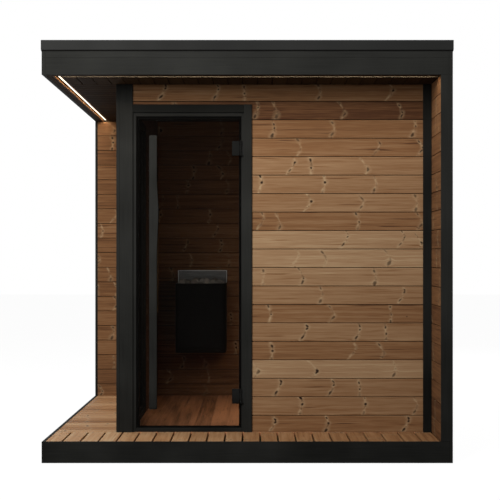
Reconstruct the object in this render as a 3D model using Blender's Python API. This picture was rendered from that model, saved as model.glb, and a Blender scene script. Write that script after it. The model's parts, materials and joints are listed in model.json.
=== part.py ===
"""Outdoor sauna cabin: a flat-roofed room on a low base, with an open porch along its front and left side.

Run with: blender --background --python part.py
Units are metres. X runs to the right, Y to the back and Z up; the origin is on the ground, under the
middle of the roof. Every piece is one closed solid in one object.
"""

import math

import bmesh
import bpy
from mathutils import Matrix, Vector

# Fits
GAP = 0.0003  # between pieces that touch
PIN_GAP = 0.001  # between hinge parts that turn past each other

# Base and deck
WIDTH = 2.275  # across the base, outside the skirts
DEPTH = 2.320  # front skirt to back skirt, outside
BASE_HEIGHT = 0.118  # ground to deck
SKIRT_THICK = 0.018
DECK_THICK = 0.028
JOIST_WIDTH = 0.045
SILL_JOIST_WIDTH = 0.110  # the wider joists under the front and left walls
FLOOR_JOISTS = 2  # between the joist under the front wall and the back one

# Walls
FRONT_PORCH = 0.372  # front of the base to the front wall
SIDE_PORCH = 0.3715  # left of the base to the trim of the left wall
OPENING_HEIGHT = 1.890  # door frame and side window, outside
HEADER_HEIGHT = 0.141  # top of the door frame to the soffit
FRONT_WALL_THICK = 0.090
LEFT_WALL_THICK = 0.078
RIGHT_WALL_THICK = 0.0645
BACK_WALL_THICK = 0.095

# Trims and corner post
TRIM_THICK = 0.012  # how far trims stand proud of the boards
END_TRIM_THICK = 0.018  # boards that cover the ends of the right and back walls
POST_WIDTH = 0.0657
CORNER_TRIM_FRONT = 0.084  # face width on the front
CORNER_TRIM_SIDE = 0.100  # face width on the left side
INNER_STRIP_WIDTH = 0.048
INNER_STRIP_THICK = 0.020

# Door frame and casing
FRAME_WIDTH = 0.690
JAMB_FACE = 0.0375
HEAD_FACE = 0.046
THRESHOLD_HEIGHT = 0.024
STOP_WIDTH = 0.015  # the rebate's lip behind the glass
CASING_WIDTH = 0.047
CASING_LAP = 0.024  # how far the casing covers the frame

# Glass door
GLASS_THICK = 0.008
GLASS_SET_BACK = 0.002  # glass face behind the frame's face
DOOR_SIDE_GAP = 0.0065
DOOR_TOP_GAP = 0.014
DOOR_BOTTOM_GAP = 0.0128
DOOR_STOP_GAP = 0.006  # glass to the lip behind it

# Hinges
HINGE_WIDTH = 0.045
HINGE_HEIGHT = 0.085
HINGE_DEPTH = 0.019
HINGE_AXIS_OUT = 0.0112  # axis in front of the frame's face
HINGE_AXIS_IN = 0.0025  # axis inside the edge of the rebate
KNUCKLE_RADIUS = 0.006
KNUCKLE_HEIGHT = 0.031
HINGE_BLOCK_CLEAR = 0.008  # door block to the axis, sideways
HINGE_FROM_END = 0.1735  # end of the glass to the middle of the hinge
BRACKET_THICK = 0.008

# Handles
HANDLE_WIDTH = 0.049
HANDLE_THICK = 0.022
HANDLE_FROM_EDGE = 0.071  # glass edge to the handle
HANDLE_FROM_END = 0.1016  # end of the glass to the end of the handle
HANDLE_STAND_OFF = 0.030
BELLY_FROM_TOP = 0.443  # top of the handle to the widest point of its belly
BELLY_UPPER = 0.203
BELLY_LOWER = 0.268
BELLY_OUT = 0.007
STUD_RADIUS = 0.011
STUD_FROM_END = 0.160
INNER_HANDLE_LENGTH = 0.480
INNER_STUD_FROM_END = 0.080

# Side window
WINDOW_WIDTH = 0.837
WINDOW_MEMBER = 0.038
PANE_THICK = 0.024

# Roof
SOFFIT_THICK = 0.015
ROOF_CORE_THICK = 0.1457
ROOF_SHEET_THICK = 0.004
FASCIA_THICK = 0.020
FASCIA_HEIGHT = 0.1877
FLASHING_THICK = 0.003
FLASHING_DROP = 0.060
FLASHING_TOP_WIDTH = 0.064
FLASHING_CLEAR = 0.001  # outer leaf to the fascia

# Light slot in the soffit
SLOT_MIDDLE = 0.079  # from the outer face of the fascia
SLOT_WIDTH = 0.035
LIGHT_WIDTH = 0.017
LIGHT_HEIGHT = 0.0087
LIGHT_END_CLEAR = 0.020  # right-hand end of the front light to the right wall

# Heater
HEATER_WIDTH = 0.361
HEATER_DEPTH = 0.330
HEATER_LOW_Z = 0.342  # above the floor
HEATER_HEIGHT = 0.495
HEATER_FROM_LEFT_WALL = 0.154
HEATER_WALL_GAP = 0.025
HEATER_CORNER = 0.030
HEATER_SHELL = 0.020
BASIN_DEPTH = 0.080
GUARD_HEIGHT = 0.091
GUARD_THICK = 0.003
GUARD_CORNER = 0.030
STONE_RISE = 0.030
HEAP_SLOPE = 0.030  # how far the top of the heap lies inside the basin
BRACKET_WIDTH = 0.260
BRACKET_HEIGHT = 0.320

# Places worked out from the sizes above
LEFT, RIGHT = -WIDTH / 2, WIDTH / 2
FRONT, BACK = -DEPTH / 2, DEPTH / 2
WALL_LOW = BASE_HEIGHT + GAP
FRAME_TOP = WALL_LOW + OPENING_HEIGHT
SOFFIT_Z = BASE_HEIGHT + OPENING_HEIGHT + HEADER_HEIGHT
WALL_HIGH = SOFFIT_Z - GAP
WALL_FACE = FRONT + FRONT_PORCH
WALL_INSIDE = WALL_FACE + FRONT_WALL_THICK
BACK_INSIDE = BACK - BACK_WALL_THICK
RIGHT_INSIDE = RIGHT - RIGHT_WALL_THICK
LEFT_FACE = LEFT + SIDE_PORCH + TRIM_THICK
LEFT_INSIDE = LEFT_FACE + LEFT_WALL_THICK
FRAME_LEFT = LEFT_FACE + POST_WIDTH + GAP
FRAME_RIGHT = FRAME_LEFT + FRAME_WIDTH
REBATE_LEFT = FRAME_LEFT + JAMB_FACE
REBATE_RIGHT = FRAME_RIGHT - JAMB_FACE
THRESHOLD_TOP = BASE_HEIGHT + THRESHOLD_HEIGHT
HEAD_LOW = FRAME_TOP - HEAD_FACE
GLASS_FACE = WALL_FACE + GLASS_SET_BACK
GLASS_BACK = GLASS_FACE + GLASS_THICK
GLASS_LEFT, GLASS_RIGHT = REBATE_LEFT + DOOR_SIDE_GAP, REBATE_RIGHT - DOOR_SIDE_GAP
GLASS_LOW, GLASS_HIGH = THRESHOLD_TOP + DOOR_BOTTOM_GAP, HEAD_LOW - DOOR_TOP_GAP
HINGE_LEVELS = {"top": GLASS_HIGH - HINGE_FROM_END, "bottom": GLASS_LOW + HINGE_FROM_END}
HINGE_X = REBATE_RIGHT - HINGE_AXIS_IN
HINGE_Y = WALL_FACE - HINGE_AXIS_OUT
ROOF_LOW = SOFFIT_Z + SOFFIT_THICK + GAP
ROOF_TOP = ROOF_LOW + ROOF_CORE_THICK
SHEET_LOW = ROOF_TOP + GAP
SHEET_TOP = SHEET_LOW + ROOF_SHEET_THICK
FASCIA_TOP = SOFFIT_Z + FASCIA_HEIGHT
ROOF_TRIM_LOW = FASCIA_TOP + GAP
HEATER_LEFT = LEFT_INSIDE + HEATER_FROM_LEFT_WALL
HEATER_BACK = BACK_INSIDE - HEATER_WALL_GAP
HEATER_LOW = BASE_HEIGHT + HEATER_LOW_Z
HEATER_TOP = HEATER_LOW + HEATER_HEIGHT


def clear_scene():
    """Removes the startup objects, so that the model starts from nothing."""
    for obj in list(bpy.data.objects):
        bpy.data.objects.remove(obj)


def make_look(name, red, green, blue, roughness, metallic=0.0, alpha=1.0):
    """A plain material; the colour is linear."""
    look = bpy.data.materials.new(name)
    look.use_nodes = True
    shader = look.node_tree.nodes["Principled BSDF"]
    shader.inputs["Base Color"].default_value = (red, green, blue, 1.0)
    shader.inputs["Roughness"].default_value = roughness
    shader.inputs["Metallic"].default_value = metallic
    shader.inputs["Alpha"].default_value = alpha
    return look


def make_looks():
    """The finishes of the cabin by name."""
    return {
        "boards": make_look("thermo_pine", 0.25, 0.13, 0.065, 0.6),
        "deck": make_look("deck_pine", 0.28, 0.16, 0.08, 0.65),
        "black": make_look("black_painted_wood", 0.025, 0.025, 0.023, 0.6),
        "sheet": make_look("black_sheet_metal", 0.03, 0.03, 0.029, 0.45, 0.0),
        "joist": make_look("treated_timber", 0.2, 0.19, 0.1, 0.8),
        "membrane": make_look("roofing_membrane", 0.04, 0.04, 0.04, 0.9),
        "glass": make_look("tinted_glass", 0.03, 0.028, 0.026, 0.05, 0.0, 0.45),
        "light": make_look("light_diffuser", 0.9, 0.82, 0.68, 0.4),
        "enamel": make_look("black_enamel", 0.012, 0.012, 0.011, 0.4),
        "steel": make_look("stainless_steel", 0.5, 0.5, 0.49, 0.3, 1.0),
        "stone": make_look("sauna_stone", 0.16, 0.155, 0.15, 0.85),
    }


def add_object(name, mesh, look, place=(0.0, 0.0, 0.0)):
    """Puts a mesh in the scene as an object with its material."""
    obj = bpy.data.objects.new(name, mesh)
    obj.location = place
    if look is not None:
        mesh.materials.append(look)
    bpy.context.scene.collection.objects.link(obj)
    return obj


def mesh_from(name, shape):
    """Turns a bmesh into a mesh with its normals facing out."""
    bmesh.ops.recalc_face_normals(shape, faces=shape.faces)
    mesh = bpy.data.meshes.new(name)
    shape.to_mesh(mesh)
    shape.free()
    return mesh


def block(name, x, y, z, look, pivot=None):
    """A box between the given low and high values, with its origin in its middle or at a pivot."""
    low, high = Vector((x[0], y[0], z[0])), Vector((x[1], y[1], z[1]))
    middle = (low + high) / 2
    origin = Vector(pivot) if pivot else middle
    shape = bmesh.new()
    bmesh.ops.create_cube(shape, size=1.0)
    bmesh.ops.scale(shape, vec=high - low, verts=shape.verts)
    bmesh.ops.translate(shape, vec=middle - origin, verts=shape.verts)
    return add_object(name, mesh_from(name, shape), look, origin)


def prism(name, outline, direction, look, pivot=(0.0, 0.0, 0.0)):
    """A flat outline of 3D points pushed along a direction."""
    origin = Vector(pivot)
    shape = bmesh.new()
    corners = [shape.verts.new(Vector(point) - origin) for point in outline]
    face = shape.faces.new(corners)
    pushed = bmesh.ops.extrude_face_region(shape, geom=[face])
    moved = [item for item in pushed["geom"] if isinstance(item, bmesh.types.BMVert)]
    bmesh.ops.translate(shape, vec=Vector(direction), verts=moved)
    return add_object(name, mesh_from(name, shape), look, origin)


def helper(obj):
    """Marks an object as a cutter or a joining shape, which is no piece of the cabin."""
    obj.hide_render = True
    obj.display_type = "WIRE"
    return obj


def boolean(obj, other, operation):
    """Cuts a helper from an object, or joins it on."""
    step = obj.modifiers.new(f"{operation.lower()} {other.name}", "BOOLEAN")
    step.object = helper(other)
    step.operation = operation
    step.solver = "EXACT"


def upright_cylinder(name, x, y, z, radius, sides=24):
    """A cylinder on a vertical axis between two heights, to join to another piece."""
    shape = bmesh.new()
    bmesh.ops.create_cone(
        shape, cap_ends=True, segments=sides, radius1=radius, radius2=radius, depth=z[1] - z[0]
    )
    bmesh.ops.translate(shape, vec=(x, y, (z[0] + z[1]) / 2), verts=shape.verts)
    return add_object(name, mesh_from(name, shape), None)


def level_cylinder(name, x, y, z, radius, sides=16):
    """A cylinder along Y between two values of y, to join to another piece."""
    shape = bmesh.new()
    bmesh.ops.create_cone(
        shape, cap_ends=True, segments=sides, radius1=radius, radius2=radius, depth=y[1] - y[0],
        matrix=Matrix.Rotation(math.pi / 2, 4, "X"),
    )
    bmesh.ops.translate(shape, vec=(x, (y[0] + y[1]) / 2, z), verts=shape.verts)
    return add_object(name, mesh_from(name, shape), None)


def rounded_rectangle(x, y, radius, steps=4):
    """Corner points of a rectangle with round corners, anticlockwise, as (x, y)."""
    centres = (
        (x[1] - radius, y[1] - radius, 0.0),
        (x[0] + radius, y[1] - radius, 0.5),
        (x[0] + radius, y[0] + radius, 1.0),
        (x[1] - radius, y[0] + radius, 1.5),
    )
    points = []
    for centre_x, centre_y, start in centres:
        for step in range(steps + 1):
            turn = math.pi * (start + 0.5 * step / steps)
            points.append((centre_x + radius * math.cos(turn), centre_y + radius * math.sin(turn)))
    return points


def make_base(looks):
    """Joists, skirts, deck boards of both porches, and the floor of the room."""
    inner_left, inner_right = LEFT + SKIRT_THICK + GAP, RIGHT - SKIRT_THICK - GAP
    inner_front, inner_back = FRONT + SKIRT_THICK + GAP, BACK - SKIRT_THICK - GAP
    low = (0.0, BASE_HEIGHT - DECK_THICK - GAP)
    inner_x = (inner_left, inner_right)
    back_joist = inner_back - JOIST_WIDTH
    timber = looks["joist"]
    block("joist_front", inner_x, (inner_front, inner_front + JOIST_WIDTH), low, timber)
    block("joist_front_wall", inner_x, (WALL_INSIDE - SILL_JOIST_WIDTH, WALL_INSIDE), low, timber)
    block("joist_back", inner_x, (back_joist, inner_back), low, timber)
    between = (WALL_INSIDE + GAP, back_joist - GAP)
    block("joist_left", (inner_left, inner_left + JOIST_WIDTH), between, low, timber)
    block("joist_left_wall", (LEFT_INSIDE - SILL_JOIST_WIDTH, LEFT_INSIDE), between, low, timber)
    step = (between[1] - between[0]) / (FLOOR_JOISTS + 1)
    for number in range(1, FLOOR_JOISTS + 1):
        middle = between[0] + number * step
        along = (middle - JOIST_WIDTH / 2, middle + JOIST_WIDTH / 2)
        block(f"joist_floor_{number}", (LEFT_INSIDE + GAP, inner_right), along, low, timber)

    height = (0.0, BASE_HEIGHT)
    block("skirt_front", (LEFT, RIGHT), (FRONT, FRONT + SKIRT_THICK), height, looks["black"])
    block("skirt_back", (LEFT, RIGHT), (BACK - SKIRT_THICK, BACK), height, looks["black"])
    block("skirt_left", (LEFT, LEFT + SKIRT_THICK), (inner_front, inner_back), height, looks["black"])
    block("skirt_right", (RIGHT - SKIRT_THICK, RIGHT), (inner_front, inner_back), height, looks["black"])

    boards = (BASE_HEIGHT - DECK_THICK, BASE_HEIGHT)
    block("deck_front", (inner_left, inner_right), (inner_front, WALL_FACE - GAP), boards, looks["deck"])
    block("deck_side", (inner_left, LEFT_FACE - GAP), (WALL_FACE, inner_back), boards, looks["deck"])
    block("floor", (LEFT_FACE, inner_right), (WALL_FACE, inner_back), boards, looks["deck"])


def make_walls(looks):
    """Boarded walls with their real thickness, split beside and over the doorway and the window."""
    height = (WALL_LOW, WALL_HIGH)
    over_opening = (FRAME_TOP + GAP, WALL_HIGH)
    window_front = WALL_INSIDE + GAP
    window_back = window_front + WINDOW_WIDTH
    room_back = BACK_INSIDE - GAP
    front = (WALL_FACE, WALL_INSIDE)
    left = (LEFT_FACE, LEFT_INSIDE)
    wood = looks["boards"]
    block("front_wall", (FRAME_RIGHT + GAP, RIGHT_INSIDE - GAP), front, height, wood)
    block("front_wall_header", (FRAME_LEFT, FRAME_RIGHT), front, over_opening, wood)
    block("left_wall", left, (window_back + GAP, room_back), height, wood)
    block("left_wall_header", left, (window_front, window_back), over_opening, wood)
    block("right_wall", (RIGHT_INSIDE, RIGHT), (FRONT + END_TRIM_THICK + GAP, room_back), height, wood)
    ends = (LEFT + END_TRIM_THICK + GAP, RIGHT - END_TRIM_THICK - GAP)
    block("back_wall", ends, (BACK_INSIDE, BACK), height, wood)


def make_trims(looks):
    """The corner post and the upright boards that cover corners and wall ends."""
    height = (WALL_LOW, WALL_HIGH)
    black = looks["black"]
    post_right = LEFT_FACE + POST_WIDTH
    block("corner_post", (LEFT_FACE, post_right), (WALL_FACE, WALL_INSIDE), height, black)
    outer_x, outer_y = LEFT_FACE - TRIM_THICK, WALL_FACE - TRIM_THICK
    inner_x, inner_y = LEFT_FACE - GAP, WALL_FACE - GAP
    trim_right = LEFT_FACE + CORNER_TRIM_FRONT
    trim_back = outer_y + CORNER_TRIM_SIDE
    outline = (
        (outer_x, outer_y, WALL_LOW),
        (trim_right, outer_y, WALL_LOW),
        (trim_right, inner_y, WALL_LOW),
        (inner_x, inner_y, WALL_LOW),
        (inner_x, trim_back, WALL_LOW),
        (outer_x, trim_back, WALL_LOW),
    )
    prism("corner_trim", outline, (0.0, 0.0, WALL_HIGH - WALL_LOW), black)
    block("right_front_trim", (RIGHT_INSIDE, RIGHT), (FRONT, FRONT + END_TRIM_THICK), height, black)
    strip = (RIGHT_INSIDE - GAP - INNER_STRIP_WIDTH, RIGHT_INSIDE - GAP)
    strip_depth = (WALL_FACE - GAP - INNER_STRIP_THICK, WALL_FACE - GAP)
    block("inner_corner_strip", strip, strip_depth, height, black)
    ends = (BACK_INSIDE, BACK)
    block("back_left_trim", (LEFT, LEFT + END_TRIM_THICK), ends, height, black)
    block("back_right_trim", (RIGHT - END_TRIM_THICK, RIGHT), ends, height, black)


def make_door_frame(looks):
    """Rebated frame and threshold, the casing over its joint with the boards, and the fixed hinge parts."""
    depth, height = (WALL_FACE, WALL_INSIDE), (WALL_LOW, FRAME_TOP)
    frame = block("door_frame", (FRAME_LEFT, FRAME_RIGHT), depth, height, looks["black"])
    through = block(
        "doorway_cutter",
        (REBATE_LEFT + STOP_WIDTH, REBATE_RIGHT - STOP_WIDTH),
        (WALL_FACE - JAMB_FACE, WALL_INSIDE + JAMB_FACE),
        (THRESHOLD_TOP, HEAD_LOW - STOP_WIDTH),
        None,
    )
    rebate = block(
        "rebate_cutter",
        (REBATE_LEFT, REBATE_RIGHT),
        (WALL_FACE - JAMB_FACE, GLASS_BACK + DOOR_STOP_GAP),
        (THRESHOLD_TOP, HEAD_LOW),
        None,
    )
    boolean(frame, through, "DIFFERENCE")
    boolean(frame, rebate, "DIFFERENCE")

    left = LEFT_FACE + CORNER_TRIM_FRONT + GAP
    inner = FRAME_RIGHT - CASING_LAP
    outer = inner + CASING_WIDTH
    low = FRAME_TOP - CASING_LAP
    high = low + CASING_WIDTH
    face = WALL_FACE - TRIM_THICK
    outline = (
        (left, face, low),
        (inner, face, low),
        (inner, face, WALL_LOW),
        (outer, face, WALL_LOW),
        (outer, face, high),
        (left, face, high),
    )
    prism("door_casing", outline, (0.0, TRIM_THICK - GAP, 0.0), looks["black"])

    for end, level in HINGE_LEVELS.items():
        make_hinge_bracket(f"hinge_bracket_{end}", level, looks["sheet"])


def make_hinge_bracket(name, middle, look):
    """The fixed half of a hinge: a plate on the frame and an eye above and below the door's knuckle."""
    plate_left = HINGE_X + KNUCKLE_RADIUS + PIN_GAP
    plate_right = FRAME_RIGHT - CASING_LAP - GAP
    front, back = WALL_FACE - GAP - BRACKET_THICK, WALL_FACE - GAP
    low, high = middle - HINGE_HEIGHT / 2, middle + HINGE_HEIGHT / 2
    bracket = block(name, (plate_left, plate_right), (front, back), (low, high), look)
    inner_low = middle - KNUCKLE_HEIGHT / 2 - PIN_GAP
    inner_high = middle + KNUCKLE_HEIGHT / 2 + PIN_GAP
    for number, span in enumerate(((low, inner_low), (inner_high, high))):
        eye = upright_cylinder(f"{name}_eye_{number}", HINGE_X, HINGE_Y, span, KNUCKLE_RADIUS)
        reach = (HINGE_X + KNUCKLE_RADIUS / 2, plate_left + PIN_GAP)
        ear = block(f"{name}_ear_{number}", reach, (HINGE_Y, back), span, None)
        boolean(bracket, eye, "UNION")
        boolean(bracket, ear, "UNION")


def make_door(looks):
    """The glass leaf with its hinge blocks and handles, under one empty on the hinge axis."""
    axis = bpy.data.objects.new("door_axis", None)
    axis.location = (HINGE_X, HINGE_Y, BASE_HEIGHT)
    bpy.context.scene.collection.objects.link(axis)
    across, height = (GLASS_LEFT, GLASS_RIGHT), (GLASS_LOW, GLASS_HIGH)
    leaf = [block("door_glass", across, (GLASS_FACE, GLASS_BACK), height, looks["glass"])]
    for end, level in HINGE_LEVELS.items():
        leaf.append(make_door_hinge(f"door_hinge_{end}", level, looks["sheet"]))
    leaf.append(make_outer_handle(looks["black"]))
    leaf.append(make_inner_handle(looks["boards"]))
    for obj in leaf:
        obj.parent = axis
        obj.matrix_parent_inverse = Matrix.Translation(-axis.location)


def make_door_hinge(name, middle, look):
    """The moving half of a hinge: a block clamped on the glass and a knuckle on the axis."""
    right = HINGE_X - HINGE_BLOCK_CLEAR
    back = GLASS_FACE - GAP
    low, high = middle - HINGE_HEIGHT / 2, middle + HINGE_HEIGHT / 2
    plate = block(name, (right - HINGE_WIDTH, right), (back - HINGE_DEPTH, back), (low, high), look)
    span = (middle - KNUCKLE_HEIGHT / 2, middle + KNUCKLE_HEIGHT / 2)
    knuckle = upright_cylinder(f"{name}_knuckle", HINGE_X, HINGE_Y, span, KNUCKLE_RADIUS)
    reach = (right - KNUCKLE_RADIUS, HINGE_X)
    web = block(f"{name}_web", reach, (HINGE_Y - KNUCKLE_RADIUS, HINGE_Y + KNUCKLE_RADIUS), span, None)
    boolean(plate, web, "UNION")
    boolean(plate, knuckle, "UNION")
    return plate


def make_outer_handle(look):
    """A long upright board with a slight belly on its right edge, on two studs.

    The belly is one cosine wave: half of it rises to the widest point, and the other half falls again.
    """
    face = GLASS_FACE - GAP - HANDLE_STAND_OFF - HANDLE_THICK
    left = GLASS_LEFT + HANDLE_FROM_EDGE
    right = left + HANDLE_WIDTH
    low, high = GLASS_LOW + HANDLE_FROM_END, GLASS_HIGH - HANDLE_FROM_END
    peak = high - BELLY_FROM_TOP
    steps = 6
    outline = [(left, low), (right, low)]
    for step in range(-steps, steps + 1):
        share = step / steps
        reach = BELLY_LOWER if step < 0 else BELLY_UPPER
        out = BELLY_OUT * (1 + math.cos(math.pi * share)) / 2
        outline.append((right + out, peak + reach * share))
    outline += [(right, high), (left, high)]
    handle = prism("door_handle", [(x, face, z) for x, z in outline], (0.0, HANDLE_THICK, 0.0), look)
    middle_x = left + HANDLE_WIDTH / 2
    reach = (face + HANDLE_THICK / 2, GLASS_FACE - GAP)
    for number, level in enumerate((low + STUD_FROM_END, high - STUD_FROM_END)):
        stud = level_cylinder(f"door_handle_stud_{number}", middle_x, reach, level, STUD_RADIUS)
        boolean(handle, stud, "UNION")
    return handle


def make_inner_handle(look):
    """A short upright grip on two studs, inside the room, at the middle of the glass."""
    left = GLASS_LEFT + HANDLE_FROM_EDGE
    start = GLASS_BACK + GAP
    near, far = start + HANDLE_STAND_OFF, start + HANDLE_STAND_OFF + HANDLE_THICK
    middle = (GLASS_LOW + GLASS_HIGH) / 2
    low, high = middle - INNER_HANDLE_LENGTH / 2, middle + INNER_HANDLE_LENGTH / 2
    grip = block("door_handle_inner", (left, left + HANDLE_WIDTH), (near, far), (low, high), look)
    middle_x = left + HANDLE_WIDTH / 2
    reach = (start, far - HANDLE_THICK / 2)
    for number, level in enumerate((low + INNER_STUD_FROM_END, high - INNER_STUD_FROM_END)):
        stud = level_cylinder(f"inner_handle_stud_{number}", middle_x, reach, level, STUD_RADIUS)
        boolean(grip, stud, "UNION")
    return grip


def make_window(looks):
    """The tall fixed window of the left wall: a frame the wall's thickness deep, and its sealed pane."""
    front = WALL_INSIDE + GAP
    span = (front, front + WINDOW_WIDTH)
    height = (WALL_LOW, FRAME_TOP)
    frame = block("window_frame", (LEFT_FACE, LEFT_INSIDE), span, height, looks["black"])
    inner_span = (span[0] + WINDOW_MEMBER, span[1] - WINDOW_MEMBER)
    inner_height = (height[0] + WINDOW_MEMBER, height[1] - WINDOW_MEMBER)
    through = (LEFT_FACE - WINDOW_MEMBER, LEFT_INSIDE + WINDOW_MEMBER)
    boolean(frame, block("window_cutter", through, inner_span, inner_height, None), "DIFFERENCE")
    middle = (LEFT_FACE + LEFT_INSIDE) / 2
    block(
        "window_glass",
        (middle - PANE_THICK / 2, middle + PANE_THICK / 2),
        (inner_span[0] + GAP, inner_span[1] - GAP),
        (inner_height[0] + GAP, inner_height[1] - GAP),
        looks["glass"],
    )


def make_roof(looks):
    """Soffit and ceiling boards, the roof core and its sheet, fascia boards and edge flashing."""
    inner_left, inner_right = LEFT + FASCIA_THICK + GAP, RIGHT - FASCIA_THICK - GAP
    inner_front, inner_back = FRONT + FASCIA_THICK + GAP, BACK - FASCIA_THICK - GAP
    slot_outer, slot_inner = SLOT_MIDDLE - SLOT_WIDTH / 2, SLOT_MIDDLE + SLOT_WIDTH / 2
    boards = (SOFFIT_Z, SOFFIT_Z + SOFFIT_THICK)
    wood = looks["boards"]
    soffit_left, soffit_front = LEFT + slot_inner, FRONT + slot_inner
    block("soffit_front", (soffit_left, inner_right), (soffit_front, WALL_FACE - GAP), boards, wood)
    block("soffit_side", (soffit_left, LEFT_FACE - GAP), (WALL_FACE, inner_back), boards, wood)
    block("ceiling", (LEFT_FACE, inner_right), (WALL_FACE, inner_back), boards, wood)
    outline = (
        (inner_left, inner_front, SOFFIT_Z),
        (inner_right, inner_front, SOFFIT_Z),
        (inner_right, FRONT + slot_outer, SOFFIT_Z),
        (LEFT + slot_outer, FRONT + slot_outer, SOFFIT_Z),
        (LEFT + slot_outer, inner_back, SOFFIT_Z),
        (inner_left, inner_back, SOFFIT_Z),
    )
    prism("soffit_edge", outline, (0.0, 0.0, SOFFIT_THICK), wood)

    light = (ROOF_LOW - GAP - LIGHT_HEIGHT, ROOF_LOW - GAP)
    across = (SLOT_MIDDLE - LIGHT_WIDTH / 2, SLOT_MIDDLE + LIGHT_WIDTH / 2)
    across_x = (LEFT + across[0], LEFT + across[1])
    across_y = (FRONT + across[0], FRONT + across[1])
    block("light_side", across_x, (FRONT + across[0], BACK_INSIDE - GAP), light, looks["light"])
    along = (across_x[1] + GAP, RIGHT_INSIDE - LIGHT_END_CLEAR)
    block("light_front", along, across_y, light, looks["light"])

    inside_x, inside_y = (inner_left, inner_right), (inner_front, inner_back)
    block("roof_core", inside_x, inside_y, (ROOF_LOW, ROOF_TOP), looks["joist"])
    block("roof_sheet", inside_x, inside_y, (SHEET_LOW, SHEET_TOP), looks["membrane"])

    fascia = (SOFFIT_Z, FASCIA_TOP)
    block("fascia_front", (LEFT, RIGHT), (FRONT, FRONT + FASCIA_THICK), fascia, looks["black"])
    block("fascia_back", (LEFT, RIGHT), (BACK - FASCIA_THICK, BACK), fascia, looks["black"])
    block("fascia_left", (LEFT, LEFT + FASCIA_THICK), (inner_front, inner_back), fascia, looks["black"])
    block("fascia_right", (RIGHT - FASCIA_THICK, RIGHT), (inner_front, inner_back), fascia, looks["black"])
    make_flashing(looks["sheet"])


def make_flashing(look):
    """Edge trims of bent sheet, mitred at the corners: outer leaf, top, and inner leaf down to the sheet."""
    out = FLASHING_CLEAR + FLASHING_THICK
    high = ROOF_TRIM_LOW + FLASHING_THICK
    low = high - FLASHING_DROP
    inner_low = SHEET_TOP + GAP
    inner = out - FLASHING_TOP_WIDTH
    profile = (
        (out, low),
        (out, high),
        (inner, high),
        (inner, inner_low),
        (inner + FLASHING_THICK, inner_low),
        (inner + FLASHING_THICK, ROOF_TRIM_LOW),
        (FLASHING_CLEAR, ROOF_TRIM_LOW),
        (FLASHING_CLEAR, low),
    )
    sides = (
        ("flashing_front", 0, -1, WIDTH / 2, DEPTH / 2),
        ("flashing_right", 1, 0, DEPTH / 2, WIDTH / 2),
        ("flashing_back", 0, 1, WIDTH / 2, DEPTH / 2),
        ("flashing_left", -1, 0, DEPTH / 2, WIDTH / 2),
    )
    for name, out_x, out_y, half_length, away in sides:
        shape = bmesh.new()
        rings = []
        for end in (-1, 1):
            ring = []
            for outward, z in profile:
                along = end * (half_length + outward - GAP / 2)
                across = away + outward
                x, y = across * out_x - along * out_y, across * out_y + along * out_x
                ring.append(shape.verts.new((x, y, z)))
            rings.append(ring)
        shape.faces.new(rings[0])
        shape.faces.new(rings[1])
        for number in range(len(profile)):
            following = (number + 1) % len(profile)
            shape.faces.new((rings[0][number], rings[0][following], rings[1][following], rings[1][number]))
        add_object(name, mesh_from(name, shape), look)


def make_heater(looks):
    """The wall-hung heater: bracket, open-topped casing, heap of stones and the steel guard behind them."""
    x = (HEATER_LEFT, HEATER_LEFT + HEATER_WIDTH)
    y = (HEATER_BACK - HEATER_DEPTH, HEATER_BACK)
    body = [(px, py, HEATER_LOW) for px, py in rounded_rectangle(x, y, HEATER_CORNER)]
    casing = prism("heater_casing", body, (0.0, 0.0, HEATER_HEIGHT), looks["enamel"])
    basin_x = (x[0] + HEATER_SHELL, x[1] - HEATER_SHELL)
    basin_y = (y[0] + HEATER_SHELL, y[1] - HEATER_SHELL)
    basin_low = HEATER_TOP - BASIN_DEPTH
    inner_corner = HEATER_CORNER / 2
    basin = [(px, py, basin_low) for px, py in rounded_rectangle(basin_x, basin_y, inner_corner)]
    cutter = prism("basin_cutter", basin, (0.0, 0.0, BASIN_DEPTH + HEATER_SHELL), None)
    boolean(casing, cutter, "DIFFERENCE")

    heap_x, heap_y = (basin_x[0] + GAP, basin_x[1] - GAP), (basin_y[0] + GAP, basin_y[1] - GAP)
    make_stones(heap_x, heap_y, basin_low + GAP, inner_corner, looks["stone"])

    bottom = HEATER_TOP + GAP
    arc_z = bottom + GUARD_HEIGHT - GUARD_CORNER
    outline = (
        (x[0], y[1], bottom),
        *arc_points(x[0] + GUARD_CORNER, y[1], arc_z, GUARD_CORNER, 1.0, 0.5),
        *arc_points(x[1] - GUARD_CORNER, y[1], arc_z, GUARD_CORNER, 0.5, 0.0),
        (x[1], y[1], bottom),
    )
    prism("heater_guard", outline, (0.0, -GUARD_THICK, 0.0), looks["steel"])

    middle_x = (x[0] + x[1]) / 2
    middle_z = HEATER_LOW + HEATER_HEIGHT / 2
    block(
        "heater_bracket",
        (middle_x - BRACKET_WIDTH / 2, middle_x + BRACKET_WIDTH / 2),
        (HEATER_BACK + GAP, BACK_INSIDE - GAP),
        (middle_z - BRACKET_HEIGHT / 2, middle_z + BRACKET_HEIGHT / 2),
        looks["steel"],
    )


def arc_points(x, y, z, radius, start, end, steps=4):
    """Points of an arc in the XZ plane, with its angles in half turns."""
    angles = [math.pi * (start + (end - start) * step / steps) for step in range(steps + 1)]
    return [(x + radius * math.cos(angle), y, z + radius * math.sin(angle)) for angle in angles]


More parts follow.
